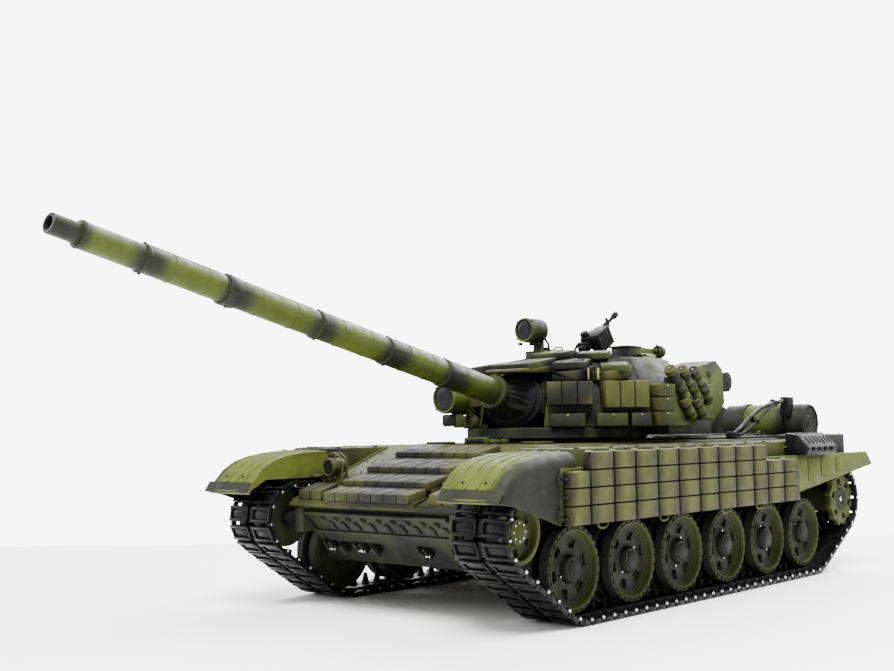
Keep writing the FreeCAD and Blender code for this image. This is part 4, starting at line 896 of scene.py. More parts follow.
@dataclass
class Mudguard:
    """Curved guard over the front bend of a track, with pressed ribs and a riveted patch."""

    side: Side
    inner: float = 72.0
    outer: float = 111.9
    wall: float = 1.5
    outline: tuple[tuple[float, float], ...] = (
        (-153.0, 89.3), (-172.0, 88.7), (-185.0, 87.0), (-195.0, 84.2), (-203.0, 79.6), (-209.5, 73.0),
        (-213.6, 66.6), (-201.5, 64.3), (-166.0, 53.2), (-166.0, 81.5), (-153.0, 81.5))

    def shell(self) -> bmesh.types.BMesh:
        """Pressed skin: an extruded outline with a rounded outer edge, open below."""
        part = extruded(self.outline, self.inner, self.outer - self.inner)
        rim = [edge for edge in part.edges if all(vert.co.x > self.outer - 0.1 for vert in edge.verts)
               and all(vert.co.z > 66 and vert.co.y < -152 for vert in edge.verts)
               and max(vert.co.z for vert in edge.verts) > 70
               and min(vert.co.y for vert in edge.verts) < -166.5]
        bmesh.ops.bevel(part, geom=rim, offset=6.0, affect="EDGES", segments=6, profile=0.5, material=-1)
        gone = [item for item in part.faces
                if item.normal.z < -0.5 or item.normal.y > 0.9 or (item.normal.x < -0.9)]
        bmesh.ops.delete(part, geom=gone, context="FACES")
        skin = part.faces[:]
        bmesh.ops.solidify(part, geom=skin, thickness=self.wall)
        return part

    def build(self) -> None:
        """Press the guard, then add ribs, bolts and the patch."""
        sign = self.side.value
        flip = Matrix.Scale(sign, 4, LEFT)
        guard = Shape()
        guard.take(self.shell(), GUARD_PAINT, flip, 40)
        inner = [(-153.0, 88.4), (-185.0, 86.0), (-195.0, 83.2), (-203.0, 78.6), (-209.0, 72.4),
                 (-212.0, 67.6),
                 (-200.0, 73.8), (-153.0, 73.8)]
        cheek = extruded(inner, self.inner + 0.1, 1.4)
        guard.take(cheek, GUARD_PAINT, flip)
        for x in (80.0, 87.5, 95.0, 102.0):
            guard.tube([(sign * x, y, z - 0.1) for y, z in self.outline[:6]], 0.75, GUARD_PAINT, 2)
        guard.block((sign * 92 - 19.6, -212.1, 66.2), (sign * 92 + 19.6, -211.5, 73.0), DARK_PAINT, 0.2,
                    Matrix.Rotation(math.radians(-32.6), 4, "X"))
        lip = [(sign * x, -213.0 + 0.02 * abs(x - 92), 67.4) for x in (73.5, 84, 95, 106.5)]
        guard.tube(lip, 0.7, GUARD_PAINT, 2)
        for x in (84.0, 98.5):
            guard.bolts([(sign * x, -207.6, 75.9)], Vector((0, -0.73, 0.68)), BLACK_PLASTIC, 0.6, 0.3)
        slope = Matrix.Rotation(math.radians(38), 4, "X")
        guard.block((sign * 108 - 3.4, -207.4, 74.2), (sign * 108 + 3.4, -198.0, 75.0), GUARD_PAINT, 0.3,
                    slope @ Matrix.Rotation(math.radians(14 * sign), 4, "Y"))
        for z in (58.0, 76.0):
            guard.block((sign * 111.9, -169.4, z - 2.6), (sign * 113.4, -166.2, z + 2.6), DARK_PAINT, 0.3)
            for step in (-1.5, 1.5):
                guard.rod((sign * 113.6, -167.6, z + step - 1), (sign * 113.6, -167.6, z + step + 1), 0.9,
                          DARK_PAINT, sides=10)
        seam = [(sign * (self.outer - 0.2), y, z) for y,
                z in ((-166.4, 81.2), (-166.4, 70.0), (-166.4, 55.0))]
        guard.tube(seam, 0.45, DARK_PAINT, 2)
        guard.piece(f"mudguard_{self.side.word}", "hull", "front_mudguards")


@dataclass
class Skirt:
    """Side plate and hung blocks with their clips, handles and hinges."""

    side: Side
    handles: tuple[float, ...] = (-137.0, -78.7, -11.7, 31.0)

    def blocks(self) -> None:
        """Block rows with rounded edges, clips on the top edges and carrying loops below."""
        sign = self.side.value
        rows = Shape()
        for number, (front, rear) in enumerate(zip(COLUMN_EDGES, COLUMN_EDGES[1:])):
            tall = 1 <= number <= 9
            top = 89.5 if tall else 80.0
            edges = (53.0, *ROW_EDGES[:3 if tall else 2], top)
            for low, high in zip(edges, edges[1:]):
                rows.block((sign * (PLATE_OUTER + 0.1), front + 0.9, low + 0.15),
                           (sign * SKIRT_OUTER, rear - 0.9, high - 0.25), SKIRT_PAINT, 0.9)
            if number:
                rows.block((sign * 116.4 - 1.0, front - 1.6, top - 0.3),
                           (sign * 116.4 + 1.0, front + 1.6, top + 0.5),
                           CLIP_PAINT, 0.25)
            for z in (56.5, 67.0, 76.0):
                rows.rod((sign * 113.0, front, z), (sign * 116.2, front, z), 0.7, DARK_PAINT, sides=8)
        for y in self.handles:
            points = [(sign * 116.5, y - 4.5, 54.0), (sign * 116.5, y - 4.5, 50.6),
                      (sign * 116.5, y + 4.5, 50.6),
                      (sign * 116.5, y + 4.5, 54.0)]
            rows.tube(points, 0.55, SKIRT_PAINT, 2)
        for z in range(55, 80, 3):
            rows.bolts([(sign * SKIRT_OUTER, -164.0, z)], LEFT * sign, SKIRT_PAINT, 0.55, 0.3)
        rows.piece(f"skirt_blocks_{self.side.word}", "hull", "skirt_armour")

    def plate(self) -> None:
        """Side plate with its pressed panels and rivets."""
        sign = self.side.value
        plate = Shape()
        for number, (front, rear) in enumerate(((86, 107), (108, 126), (128, 150), (152, 172))):
            low = 60.0 + 3.2 * number
            plate.block((sign * (PLATE_OUTER - 0.2), front, low), (sign * (PLATE_OUTER + 0.5), rear, 79.5),
                        PLATE_PAINT, 0.3)
            plate.bolts([(sign * (PLATE_OUTER + 0.4), y, z) for y in (front + 2,
                                                                      rear - 2) for z in (low + 2, 77.6)],
                        LEFT * sign, PLATE_PAINT, 0.5, 0.3)
        plate.bolts([(sign * (PLATE_OUTER - 0.1), 178 + 6 * i, 79.6) for i in range(5)], LEFT * sign,
                    PLATE_PAINT,
                    0.5, 0.35)
        plate.bolts([(sign * (PLATE_OUTER - 0.1), 178 + 7 * i, 68.3 + 0.9 * i) for i in range(5)],
                    LEFT * sign,
                    PLATE_PAINT, 0.5, 0.35)
        plate.piece(f"side_plate_panels_{self.side.word}", "hull")

    def build(self) -> None:
        """Make the side."""
        self.blocks()
        self.plate()


@dataclass
class Hull:
    """Tub, deck, glacis, bow, fenders, drums and lamps."""

    bump_places: tuple[float, ...] = (-42.0, -32.0, -22.0, -10.0, 2.0, 13.0, 24.0, 35.0, 45.0)
    drum_centre: tuple[float, float] = (205.0, 102.8)
    drum_radius: float = 14.2
    louvre_lean: float = 0.85

    def tub(self) -> None:
        """Lower hull with bolt rows and tow hooks."""
        tub = Shape()
        tub.node("lower_hull", BOW_PAINT, 0.5)
        tub.bolts([(x, HULL_REAR, z) for x in range(-54, 60, 12) for z in (46.0, 68.0)], Vector((0, 1, 0)),
                  BOW_PAINT, 1.1,
                  0.9)
        for sign in (1, -1):
            tub.block((sign * 44 - 4, 193.5, 44), (sign * 44 + 4, 197.5, 58), BOW_PAINT, 0.6)
            tub.tube([(sign * 44, 197, 55), (sign * 44, 203, 54), (sign * 44, 203.5, 48),
                      (sign * 44, 198.5, 47)], 1.3,
                     DARK_PAINT, 3)
            tub.turned([(-1.2, 5.0), (1.2, 5.0), (1.2, 7.4), (-1.2, 7.4), (-1.2, 5.0)],
                       (sign * 87, 196.0, 66.0),
                       Vector((0, 1, 0)), DARK_PAINT, 24)
        for level in (49.5, 57.5):
            tub.block((-30, 193.8, level), (30, 195.4, level + 5), BOW_PAINT, 0.4)
        tub.piece("lower_hull_shell", "hull", "lower_hull")

    def deck(self) -> None:
        """Upper hull with weld lines, deck bolts, splash strips and a driver's sight."""
        deck = Shape()
        deck.node("upper_hull", HULL_PAINT, 0.5)
        for sign in (1, -1):
            for number, (x, y) in enumerate(((41.5, -158.0), (41.0, -141.0))):
                turn = TILT_GLACIS @ Matrix.Rotation(math.radians(-38 * sign), 4, "Z")
                middle = on_glacis(sign * x, y, 2.6)
                deck.slab(middle, (3.2, 11.5 - number * 2, 1.2), GLACIS_PAINT, 0.5, turn)
            edge = [on_glacis(sign * 65.2, y, 0.3) for y in (-186.0, -160.0, -130.0, -108.0)]
            deck.tube(edge, 0.7, HULL_PAINT, 2)
            deck.bolts([on_glacis(sign * 60.5, y, 0.0) for y in (-184.0, -172.0, -130.0, -118.0)],
                       Vector((0, -0.35, 0.94)), HULL_PAINT, 0.8, 0.5)
        deck.tube([on_glacis(x, -186.4, 0.3) for x in (-64.0, -20.0, 20.0, 64.0)], 0.6, HULL_PAINT, 2)
        deck.bolts([(x, y, DECK_TOP) for x in range(-60, 61, 15) for y in (-100.0, 68.0)], UP, HULL_PAINT,
                   0.8, 0.5)
        deck.turned([(0, 51.5), (1.4, 51.5), (1.8, 52.0), (1.8, 54.2), (1.2, 54.8), (0, 54.8)],
                    (0, TURRET_Y, DECK_TOP - 0.1), UP,
                    HULL_PAINT, 72)
        deck.block((-9, -99.5, 91.5), (9, -96.4, 96.2), HULL_PAINT, 0.6)
        deck.block((-6.6, -99.9, 93.0), (6.6, -99.2, 95.4), LAMP_GLASS, 0.2)
        for sign in (1, -1):
            deck.block((sign * 30, -93, 91.8), (sign * 46, -83, 93.6), HULL_PAINT, 0.5)
        deck.piece("upper_hull_shell", "hull", "upper_hull")

    def glacis(self) -> None:
        """Armour block rows with their studs."""
        rows = Shape()
        rows.node("glacis_armour", GLACIS_PAINT, 0.45)
        for x in range(-3, 4):
            rows.bolts([(x * 9.4, -192.0, 64.6)], FRONT, GLACIS_PAINT, 0.6, 0.35)
        rows.piece("glacis_blocks", "hull", "glacis_armour")
        hatch = Shape()
        hatch.node("driver_hatch", HULL_PAINT, 0.5)
        hatch.tube([(-4, -88, 94.6), (-4, -88, 96.6), (4, -88, 96.6), (4, -88, 94.6)], 0.6, DARK_PAINT, 2)
        hatch.piece("driver_hatch_lid", "driver_hatch", "driver_hatch")

    def bow(self) -> None:
        """Entrenching blade with its row of stiffening bumps, arms and tow lugs."""
        bow = Shape()
        bow.node("bow_plate", BOW_PAINT, 0.5)
        slope = math.atan2(BLADE_TOP[1] - BLADE_FOOT[1], BLADE_FOOT[0] - BLADE_TOP[0])
        down = Vector((0, math.cos(slope), -math.sin(slope)))
        out = Vector((0, -math.sin(slope), -math.cos(slope)))
        top = Vector((0, *BLADE_TOP))
        lean = Matrix.Rotation(-slope, 4, "X")
        for x in self.bump_places:
            place = top + LEFT * x + down * 6.5 + out * 2.4
            bow.rod(place - out * 0.6, place + out * 2.0, 2.3, BOW_PAINT, 1.2, sides=12, edge=0.4)
            foot = top + LEFT * (x + 3.6) + down * 12.0 + out * 2.9
            bow.slab(foot, (1.5, 3.2, 0.7), DARK_PAINT, 0.4, lean)
        for drop in (2.6, 17.6):
            bow.slab(top + down * drop + out * 2.9, (54, 1.0, 0.7), BOW_PAINT, 0.4, lean)
        for x in (-54.8, -29.8, 19.9, 45.0):
            for step in (-2.2, 2.2):
                place = top + LEFT * (x + step) + down * 31.0 + out * 2.2
                bow.slab(place, (0.7, 4.6, 2.2), BOW_PAINT, 0.4, lean)
            pin = top + LEFT * x + down * 33.0 + out * 3.2
            bow.rod(pin - LEFT * 3.2, pin + LEFT * 3.2, 1.2, PIN_METAL, sides=12)
        for sign in (1, -1):
            bow.block((sign * 60 - 1.0, -178.0, 40.0), (sign * 60 + 1.0, -156.0, 44.0), BOW_PAINT, 0.5,
                      lean)
            bow.tube([(sign * 56, -184, 56), (sign * 60, -176, 50), (sign * 61, -168, 42),
                      (sign * 58, -160, 35)],
                     0.9, BOW_PAINT, 2)
        bow.piece("entrenching_blade", "hull", "bow_plate")

    def lamps(self) -> None:
        """Headlights in their hoop guards, with glass and reflector rings."""
        lamps = Shape()
        lamps.node("headlights", HULL_PAINT, 0.25)
        for sign in (1, -1):
            centre = Vector((sign * 57.0, -165.0, 80.0))
            lamps.turned([(0.4, 0), (0.9, 1.8), (0.8, 3.6), (0.2, 4.3)], centre, FRONT, LAMP_GLASS, 32)
            lamps.turned([(-0.2, 4.1), (1.0, 4.3), (1.2, 4.9), (0.6, 5.3), (-0.6, 5.3), (-0.6, 4.1),
                          (-0.2, 4.1)],
                         centre, FRONT, HULL_PAINT, 32)
            for turn in range(0, 360, 60):
                out = Vector((math.cos(math.radians(turn)), 0, math.sin(math.radians(turn))))
                lamps.rod(centre + out * 5.0 - FRONT * 1.6, centre + out * 8.0 - FRONT * 1.6, 0.4,
                          HULL_PAINT, sides=8, edge=0)
        lamps.piece("headlight_guards", "hull", "headlights")

    def fenders(self) -> None:
        """Fender boxes with rounded shoulders, bolt rows, straps and grab handles."""
        boxes = Shape()
        boxes.node("fender_tanks", HULL_PAINT, 1.5)
        for sign in (1, -1):
            for front, rear in ((-152, -96), (-95, -22), (-21, 52), (53, 139)):
                step = (rear - front) / 5
                rows = [(sign * x, front + step * (i + 0.5),
                         BOX_TOP - 0.05) for i in range(5) for x in (77.5, 90.0, 100.5)]
                boxes.bolts(rows, UP, HULL_PAINT, 0.8, 0.5)
                middle = (front + rear) / 2
                boxes.tube([(sign * 103.8, middle - 6, 86.5), (sign * 106, middle - 5, 87.2),
                            (sign * 106, middle + 5, 87.2), (sign * 103.8, middle + 6, 86.5)], 0.55,
                           HULL_PAINT, 2)
                ribs = [(y, 75.0, 103.6, 1.6, 0.55) for y in (front + 12, rear - 12)]
                ribs += [(front + (rear - front) * (i + 0.5) / 4, 82.0, 97.0, 3.4, 0.35) for i in range(4)]
                for y, x0, x1, half, rise in ribs:
                    boxes.block((sign * x0, y - half, BOX_TOP - 0.2), (sign * x1, y + half, BOX_TOP + rise),
                                HULL_PAINT, 0.3)
            boxes.bolts([(sign * x, y, 94.5) for x in (77, 89, 101) for y in (144, 163, 182)], UP,
                        HULL_PAINT, 0.8, 0.5)
            boxes.block((sign * 66.5, 187.5, 75.6), (sign * 108.0, 203.0, 79.0), HULL_PAINT, 0.8)
            boxes.rod((sign * 100, 204.4, 77.4), (sign * 100, 206.2, 77.4), 2.4, LAMP_GLASS, 1.9, sides=20)
        boxes.piece("fender_boxes", "hull", "fender_tanks")

    def exhaust(self) -> None:
        """Louvred cowl with a ribbed top and side slots."""
        cowl = Shape()
        cowl.node("exhaust_cover", BLACK_PLASTIC, 0.8)
        for number in range(7):
            y = 99.5 + 5.4 * number
            cowl.block((113.0, y, 91.0), (119.4, y + 1.2, 92.0), BLACK_PLASTIC, 0.3,
                       Matrix.Rotation(self.louvre_lean, 4, "Y"))
            cowl.block((105.0, y, 95.4), (112.0, y + 1.6, 96.0), BLACK_PLASTIC, 0.25)
        cowl.rod((112, 91.5, 88.0), (112, 93.5, 88.0), 3.2, BLACK_PLASTIC, sides=20)
        cowl.piece("exhaust_cowl", "hull", "exhaust_cover")

    def drums(self) -> None:
        """Fuel drums with rolled ribs, ringed ends, filler caps, straps and brackets."""
        drums = Shape()
        y, z = self.drum_centre
        radius = self.drum_radius
        for sign in (1, -1):
            section = [(3, 0), (3.2, radius - 1.4), (4.2, radius - 0.3)]
            for start in (13.0, 30.0, 43.0, 60.0):
                section += [(start, radius - 0.3), (start + 0.7, radius), (start + 1.6, radius),
                            (start + 2.3, radius - 0.3)]
            section += [(68.4, radius - 0.3), (69.6, radius - 0.7), (70, radius - 1.6),
                        (68.8, radius - 2.0),
                        (68.8, 9.6), (69.4, 9.2), (69.4, 8.4), (68.8, 8.0), (68.8, 5.6), (69.4, 5.2),
                        (69.4, 4.4),
                        (68.8, 4.0), (68.8, 2.2), (69.6, 2.0), (69.6, 0)]
            drums.turned(section, (0, y, z), LEFT * sign, DRUM_PAINT, 64)
            for x in (17.0, 50.0):
                drums.turned([(x, radius - 0.4), (x, radius + 0.7), (x + 4, radius + 0.7),
                              (x + 4, radius - 0.4),
                              (x, radius - 0.4)], (0, y, z), LEFT * sign, DARK_PAINT, 64)
                for ease, y0, y1, z0, z1, edge in ((0, HULL_REAR - 0.5, y + 8, 80, 90.2, 0.5),
                                                   (0, HULL_REAR - 0.5, HULL_REAR + 2.0, 82, 99, 0.5),
                                                   (0.6, y - 2, y + 2, z + radius, z + radius + 0.8, 0.3)):
                    drums.block((sign * (x - ease), y0, z0), (sign * (x + 4 + ease), y1, z1), DARK_PAINT,
                                edge)
            drums.rod((sign * 36, y, z + radius - 1), (sign * 36, y, z + radius + 0.8), 2.6, DARK_PAINT,
                      2.2, sides=20)
        drums.piece("fuel_drums_ribbed", "hull", "fuel_drums")

    def engine(self) -> None:
        """Engine deck with screened grilles, hinges and lifting eyes."""
        deck = Shape()
        deck.node("engine_deck", HULL_PAINT, 0.4)
        for number in range(8):
            y = 128 + 6.4 * number
            for x in range(-44, 45, 8):
                deck.block((x - 0.4, y - 0.2, 95.0), (x + 0.4, y + 3.8, 95.5), DARK_PAINT, 0.15)
        for low, high in ((-50, -8), (8, 50)):
            deck.bolts([(x, y, 94.6) for x in (low + 3, (low + high) / 2, high - 3) for y in (87, 115)], UP,
                       HULL_PAINT,
                       0.9, 0.5)
            for number in range(6):
                y = 91 + 4.0 * number
                deck.block((low + 6, y, 94.4), (high - 6, y + 1.6, 95.4), DARK_PAINT, 0.3)
        for x in (-54, 54):
            deck.tube([(x, 150, 93.6), (x, 150, 96.4), (x, 158, 96.4), (x, 158, 93.6)], 0.6, DARK_PAINT, 2)
        for y in (78, 122, 180):
            deck.bolts([(x, y, 93.6) for x in range(-54, 55, 12)], UP, HULL_PAINT, 0.7, 0.45)
        deck.piece("engine_deck_grilles", "hull", "engine_deck")

    def cable(self) -> None:
        """Tow cable: a moulded strand with clamps, from the deck to a bracket on the drum."""
        cable = Shape()
        cable.node("tow_cable", BLACK_PLASTIC, 0.2)
        strand = [(64.4, 104, 94.6), (63.8, 118, 97.6), (62.6, 134, 104.0), (60.8, 152, 111.4),
                  (59.4, 170, 117.0),
                  (58.4, 186, 119.0)]
        cable.tube(strand, 1.2, GROOVE_RUBBER, 3)
        for number in (2, 4):
            spot = Vector(strand[number])
            cable.rod(spot + Vector((-3.6, 0, 1.6)), spot + Vector((1.2, 0, -0.4)), 2.3, BLACK_PLASTIC,
                      sides=14)
        cable.rod((58, 187, 119.8), (58, 192, 119.8), 2.6, GUARD_PAINT, 2.0, sides=16)
        cable.piece("tow_cable_strands", "hull", "tow_cable")

    def build(self) -> None:
        """Make the whole hull."""
        for step in (self.tub, self.deck, self.glacis, self.bow, self.lamps, self.fenders, self.exhaust,
                     self.drums, self.engine, self.cable):
            step()
        plates = Shape()
        plates.node("side_skirts", PLATE_PAINT, 0.4)
        plates.piece("side_plates", "hull", "side_skirts")
        for side in Side:
            Mudguard(side).build()
            Skirt(side).build()


# ------------------------------------------------------------------ turret


def add_lamp(shape: Shape, centre: Point, radius: float) -> None:
    """Add a lamp's rim, ringed glass and clamps to a shape."""
    shape.turned([(1.0, 0), (1.4, radius * 0.3), (1.3, radius * 0.6), (0.7, radius - 1.3)], centre, FRONT,
                 LAMP_GLASS, 56)
    shape.turned([(0.2, radius - 1.5), (1.5, radius - 1.3), (1.8, radius - 0.6), (1.2, radius + 0.1),
                  (-1.0, radius + 0.3), (-1.6, radius - 0.1), (-1.0, radius - 1.4), (0.2, radius - 1.5)],
                 centre,
                 FRONT, TURRET_PAINT, 56)
    for turn in range(0, 360, 90):
        out = Vector((math.cos(math.radians(turn + 45)), 0, math.sin(math.radians(turn + 45))))
        place = Vector(centre) + out * (radius + 0.2)
        shape.rod(place + FRONT * 1.4, place - FRONT * 1.6, 0.7, DARK_PAINT, sides=8, edge=0.1)


@dataclass
class Turret:
    """Casting, cheek blocks, launchers, bins, sights and lamps on the turret."""

    cheek_rows: tuple[tuple[float, float, float, int, float, float, float], ...] = (
        (31.8, -70.0, 36.0, 3, 9.3, 115.2, 129.0), (61.0, -50.5, 51.0, 3, 9.2, 113.0, 129.0),
        (81.0, -23.6, 71.0, 1, 13.0, 102.0, 110.3), (81.0, -23.6, 71.0, 1, 13.0, 110.8, 119.0),
        (81.0, -23.6, 71.0, 1, 13.0, 119.5, 127.0), (33.2, -68.4, 36.0, 1, 21.0, 102.0, 109.8),
        (56.6, -52.8, 48.0, 1, 19.0, 102.0, 109.8), (71.0, -37.8, 52.0, 1, 12.5, 102.0, 109.8))
    tube_rows: tuple[tuple[int, float, float], ...] = ((3, -7.3, 136.5), (3, 2.3, 128.0), (2, 7.0, 118.6))
    tube_rise: float = math.radians(47)
    lamp_place: Point = (-34.0, -88.0, 120.4)
    lamp_radius: float = 9.3

    def casting(self) -> None:
        """Cast shell with a ring at its foot painted dark as painted shade under the turret, lifting eyes
        and roof bolts.
        """
        shell = Shape()
        shell.node("turret_shell", TURRET_PAINT, 1.1, 20, sharp=58)
        shell.bolts([(x, y, 144.9) for x, y in ((-50, 2), (-52, 18), (36, 40), (0, 48), (-20, -14),
                                                (34, -4))], UP,
                    TURRET_PAINT, 1.1, 0.7)
        for sign in (1, -1):
            shell.tube([(sign * 58, 34, 134), (sign * 60, 36, 139), (sign * 63, 42, 138),
                        (sign * 63, 44, 132)], 1.1,
                       TURRET_PAINT, 3)
        # Painted shade: the ring round the turret's foot is dark because it lies in the shade under the
        # turret.
        shell.turned([(0, 50.4), (0, 57.0), (1.0, 58.0), (6.4, 58.0), (7.2, 57.0), (7.2, 50.4), (0, 50.4)],
                     (0, TURRET_Y, 94.4), UP, DARK_PAINT, 96)
        shell.block((18, -24, 144.6), (27, -17, 149.2), TURRET_PAINT, 0.6)
        shell.block((19, -24.4, 145.8), (26, -23.8, 148.4), LAMP_GLASS, 0.2)
        for x in (11, 19):
            shell.block((x, 3, 144.6), (x + 6, 9, 148.2), TURRET_PAINT, 0.6)
            shell.block((x + 0.6, 2.6, 145.6), (x + 5.4, 3.2, 147.6), LAMP_GLASS, 0.2)
        shell.piece("turret_casting", "turret", "turret_shell")

    def armour(self) -> None:
        """Cheek blocks, roof slabs with their lids, and hanging flaps."""
        blocks = Shape()
        blocks.node("turret_armour", BLOCK_PAINT, 0.45)
        for side in (1, -1):
            for x, y, heading, count, wide, low, high in self.cheek_rows:
                turn = math.radians(heading)
                along = Vector((math.cos(turn), math.sin(turn), 0))
                out = Vector((math.sin(turn), -math.cos(turn), 0))
                for number in range(count):
                    middle = Vector((x, y, 0)) + along * (wide * (number + 0.5) - 0.2) + out * 0.15
                    half = Vector((wide / 2 - 0.4, 0.35, (high - low) / 2 - 0.1))
                    centre = Vector((side * middle.x, middle.y, (low + high) / 2))
                    blocks.slab(centre, half, BLOCK_PAINT if count > 1 else FLAP_PAINT, 0.3,
                                 Matrix.Rotation(side * turn, 4, "Z"))
                    if count == 1:
                        foot = Vector((side * middle.x, middle.y, high - 1.0))
                        outward = Vector((side * out.x, out.y, 0))
                        blocks.bolts([foot + outward * 0.4], outward, CLIP_PAINT, 0.6, 0.4)
        for x, y, z, wide, deep, turn in ((7.0, -60.0, 140.6, 30.0, 29.0, 0),
                                          (12.0, -36.0, 147.2, 25.0, 15.0, 0),
                                          (33.0, -45.0, 140.6, 20.0, 21.0, 22),
                                          (53.0, -29.0, 138.4, 17.0, 20.0, 38),
                                          (36.0, -26.0, 146.4, 19.0, 13.0, 20),
                                          (-33.0, -45.0, 140.6, 20.0, 21.0, -22),
                                          (-53.0, -29.0, 138.4, 17.0, 20.0, -38)):
            lean = Matrix.Rotation(math.radians(turn), 4, "Z") @ Matrix.Rotation(math.radians(9), 4, "X")
            half = Vector((wide / 2, deep / 2, 2.1))
            blocks.slab(Vector((x, y, z)), half, SLAB_PAINT, 0.5, lean)
            for step in (-0.25, 0.25):
                middle = Vector((x, y, z)) + lean @ Vector((wide * step, 0, 2.2))
                line = Vector((0.35, deep / 2 - 0.8, 0.12))
                blocks.slab(middle, line, DARK_PAINT, 0.05, lean)
        slot = Vector((49.0, -46.0, 133.5))
        for side in (1, -1):
            for step in (-3.6, 3.6):
                blocks.block((side * slot.x + step - 0.5, slot.y - 3, slot.z - 3.4),
                             (side * slot.x + step + 0.5, slot.y + 3, slot.z + 3.4), CLIP_PAINT, 0.2,
                             Matrix.Rotation(side * math.radians(38), 4, "Z"))
        for x0, x1, y in ((-7, 21, -72), (-7, 21, -60), (24, 43, -46), (46, 59, -30)):
            rise = 139.2 + 4 * (y + 80) / 35
            blocks.block((x0, y - 0.3, rise - 1.4), (x1, y + 0.3, rise - 0.2), DARK_PAINT, 0.15)
        blocks.piece("turret_blocks", "turret", "turret_armour")

    def launchers(self) -> None:
        """Launcher tubes with rimmed caps, straps and firing leads, above a dark block that is painted
        shade under the turret's overhang.
        """
        tubes = Shape()
        tubes.node("smoke_launchers", TURRET_PAINT, 0.35, sharp=40)
        # Painted shade: a dark block fills the space under the turret's overhang, between the flaps and the
        # bins.
        tubes.block((60.0, -6.0, 96.4), (76.5, 46.0, 107.0), DARK_PAINT, 0.8)
        pointing = Vector((0, -math.cos(self.tube_rise), math.sin(self.tube_rise)))
        for count, first, z in self.tube_rows:
            for number in range(count):
                mouth = Vector((79, first + 13.6 * number, z))
                tubes.turned([(-3.0, 3.3), (-3.0, 3.9), (0.2, 3.9), (0.6, 3.4), (0.6, 2.6), (0.1, 2.3),
                              (0.1, 1.0),
                              (0.5, 0.8), (0.5, 0)], mouth, pointing, BLOCK_PAINT, 32)
                tubes.rod(mouth + pointing * 0.4, mouth + pointing * 1.0, 0.7, PIN_METAL, sides=10, edge=0)
                for drop in (6.0, 12.5):
                    tubes.turned([(-0.7, 3.2), (-0.7, 3.8), (0.7, 3.8), (0.7, 3.2), (-0.7, 3.2)],
                                 mouth - pointing * drop, pointing, DARK_PAINT, 28)
                tail = mouth - pointing * 15.4
                tubes.tube([tail, tail + Vector((-2, 1.5, -1)), tail + Vector((-5, 2, 1)),
                            tail + Vector((-7, 1, 3))],
                           0.5, BLACK_PLASTIC, 2)
        tubes.piece("smoke_tubes", "turret", "smoke_launchers")

    def bins(self) -> None:
        """Stowage bins with pressed lids and latches, and the strapped snorkel tube."""
        bins = Shape()
        bins.node("turret_bins", TURRET_PAINT, 1.0)
        for side in (1, -1):
            for low, high in ((46, 55), (58, 67), (70, 78)):
                bins.block((side * 61.6, low, 112), (side * 62.5, high, 131), TURRET_PAINT, 0.35)
            for y, z in ((50, 133.0), (68, 134.0)):
                bins.block((side * 61.8, y, z), (side * 62.7, y + 4, z + 4), DARK_PAINT, 0.3)
        for x in (-26, -2, 22):
            bins.block((x - 9, 97.6, 108), (x + 9, 98.5, 124), TURRET_PAINT, 0.4)
        for x in (-32, -8, 18):
            bins.block((x - 2, 97.5, 134.5), (x + 2, 98.9, 137.2), DARK_PAINT, 0.3)
        for x in (-46, -30, 26, 44):
            bins.turned([(-1.4, 6.1), (-1.4, 6.8), (1.4, 6.8), (1.4, 6.1), (-1.4, 6.1)],
                        (x + 2, 105.2, 131.6), LEFT,
                        BLACK_PLASTIC, 40)
        for x in (-56.2, 56.2):
            out = LEFT * math.copysign(1, x)
            bins.turned([(-2.5, 6.2), (-2.5, 6.9), (0, 6.9), (0.3, 6.2), (0.3, 2.0), (0.9, 1.8), (0.9, 0)],
                        (x, 105.2, 131.6), out, DARK_PAINT, 40)
        bins.piece("turret_stowage", "turret", "turret_bins")

    def sights(self) -> None:
        """Gunner's sight, its lamp, and the main searchlight with its box lamp and lead."""
        sight = Shape()
        sight.node("gunner_sight", TURRET_PAINT, 0.7)
        sight.block((33.8, -4.0, 139.5), (47.4, 16.0, 152.4), TURRET_PAINT, 0.8)
        sight.block((35.2, -4.6, 141.4), (46.0, -3.8, 151.0), LAMP_GLASS, 0.3)
        sight.block((33.2, -5.4, 151.6), (48.0, 10.0, 153.0), TURRET_PAINT, 0.4)
        add_lamp(sight, (51.0, 4.0, 143.5), 4.4)
        sight.tube([(49, 27, 146), (52, 26, 151), (50, 24, 154.5)], 0.6, BLACK_PLASTIC, 2)
        sight.turned([(-2.4, 2.6), (-3.2, 3.6), (-3.0, 4.2), (-2.2, 4.2), (-2.4, 2.6)], (48, 32, 150),
                     -FRONT,
                     DARK_PAINT, 28)
        sight.piece("gunner_sight_head", "turret", "gunner_sight")
        light = Shape()
        light.node("main_searchlight", TURRET_PAINT, 0.6, sharp=40)
        add_lamp(light, self.lamp_place, self.lamp_radius)
        x, y, z = self.lamp_place
        light.block((x - 5.5, -84.9, 103.6), (x + 5.5, -83.9, 110.0), LAMP_GLASS, 0.3)
        light.rod((x, y + 10, z), (x, y + 17.5, z), 6.5, TURRET_PAINT, 3.2, sides=32, edge=0.6)
        light.tube([(x + 4, y + 15, z - 3), (x + 9, y + 16, z - 8), (x + 8, y + 24, z - 12),
                    (x + 4, y + 34, z - 11)],
                   0.9, BLACK_PLASTIC, 3)
        light.piece("searchlight_head", "turret", "main_searchlight")

    def build(self) -> None:
        """Make the turret's fixed pieces."""
        self.casting()
        self.armour()
        self.launchers()
        self.bins()
        self.sights()
        gunner = Shape()
        gunner.node("gunner_hatch", TURRET_PAINT, 0.5)
        gunner.tube([(14, 34, 148.4), (14, 34, 150.8), (20, 36, 150.8), (20, 36, 148.4)], 0.6, DARK_PAINT,
                    2)
        gunner.block((19.0, 24.0, 147.6), (24.0, 29.0, 149.8), TURRET_PAINT, 0.5)
        gunner.piece("gunner_hatch_lid", "gunner_hatch", "gunner_hatch")


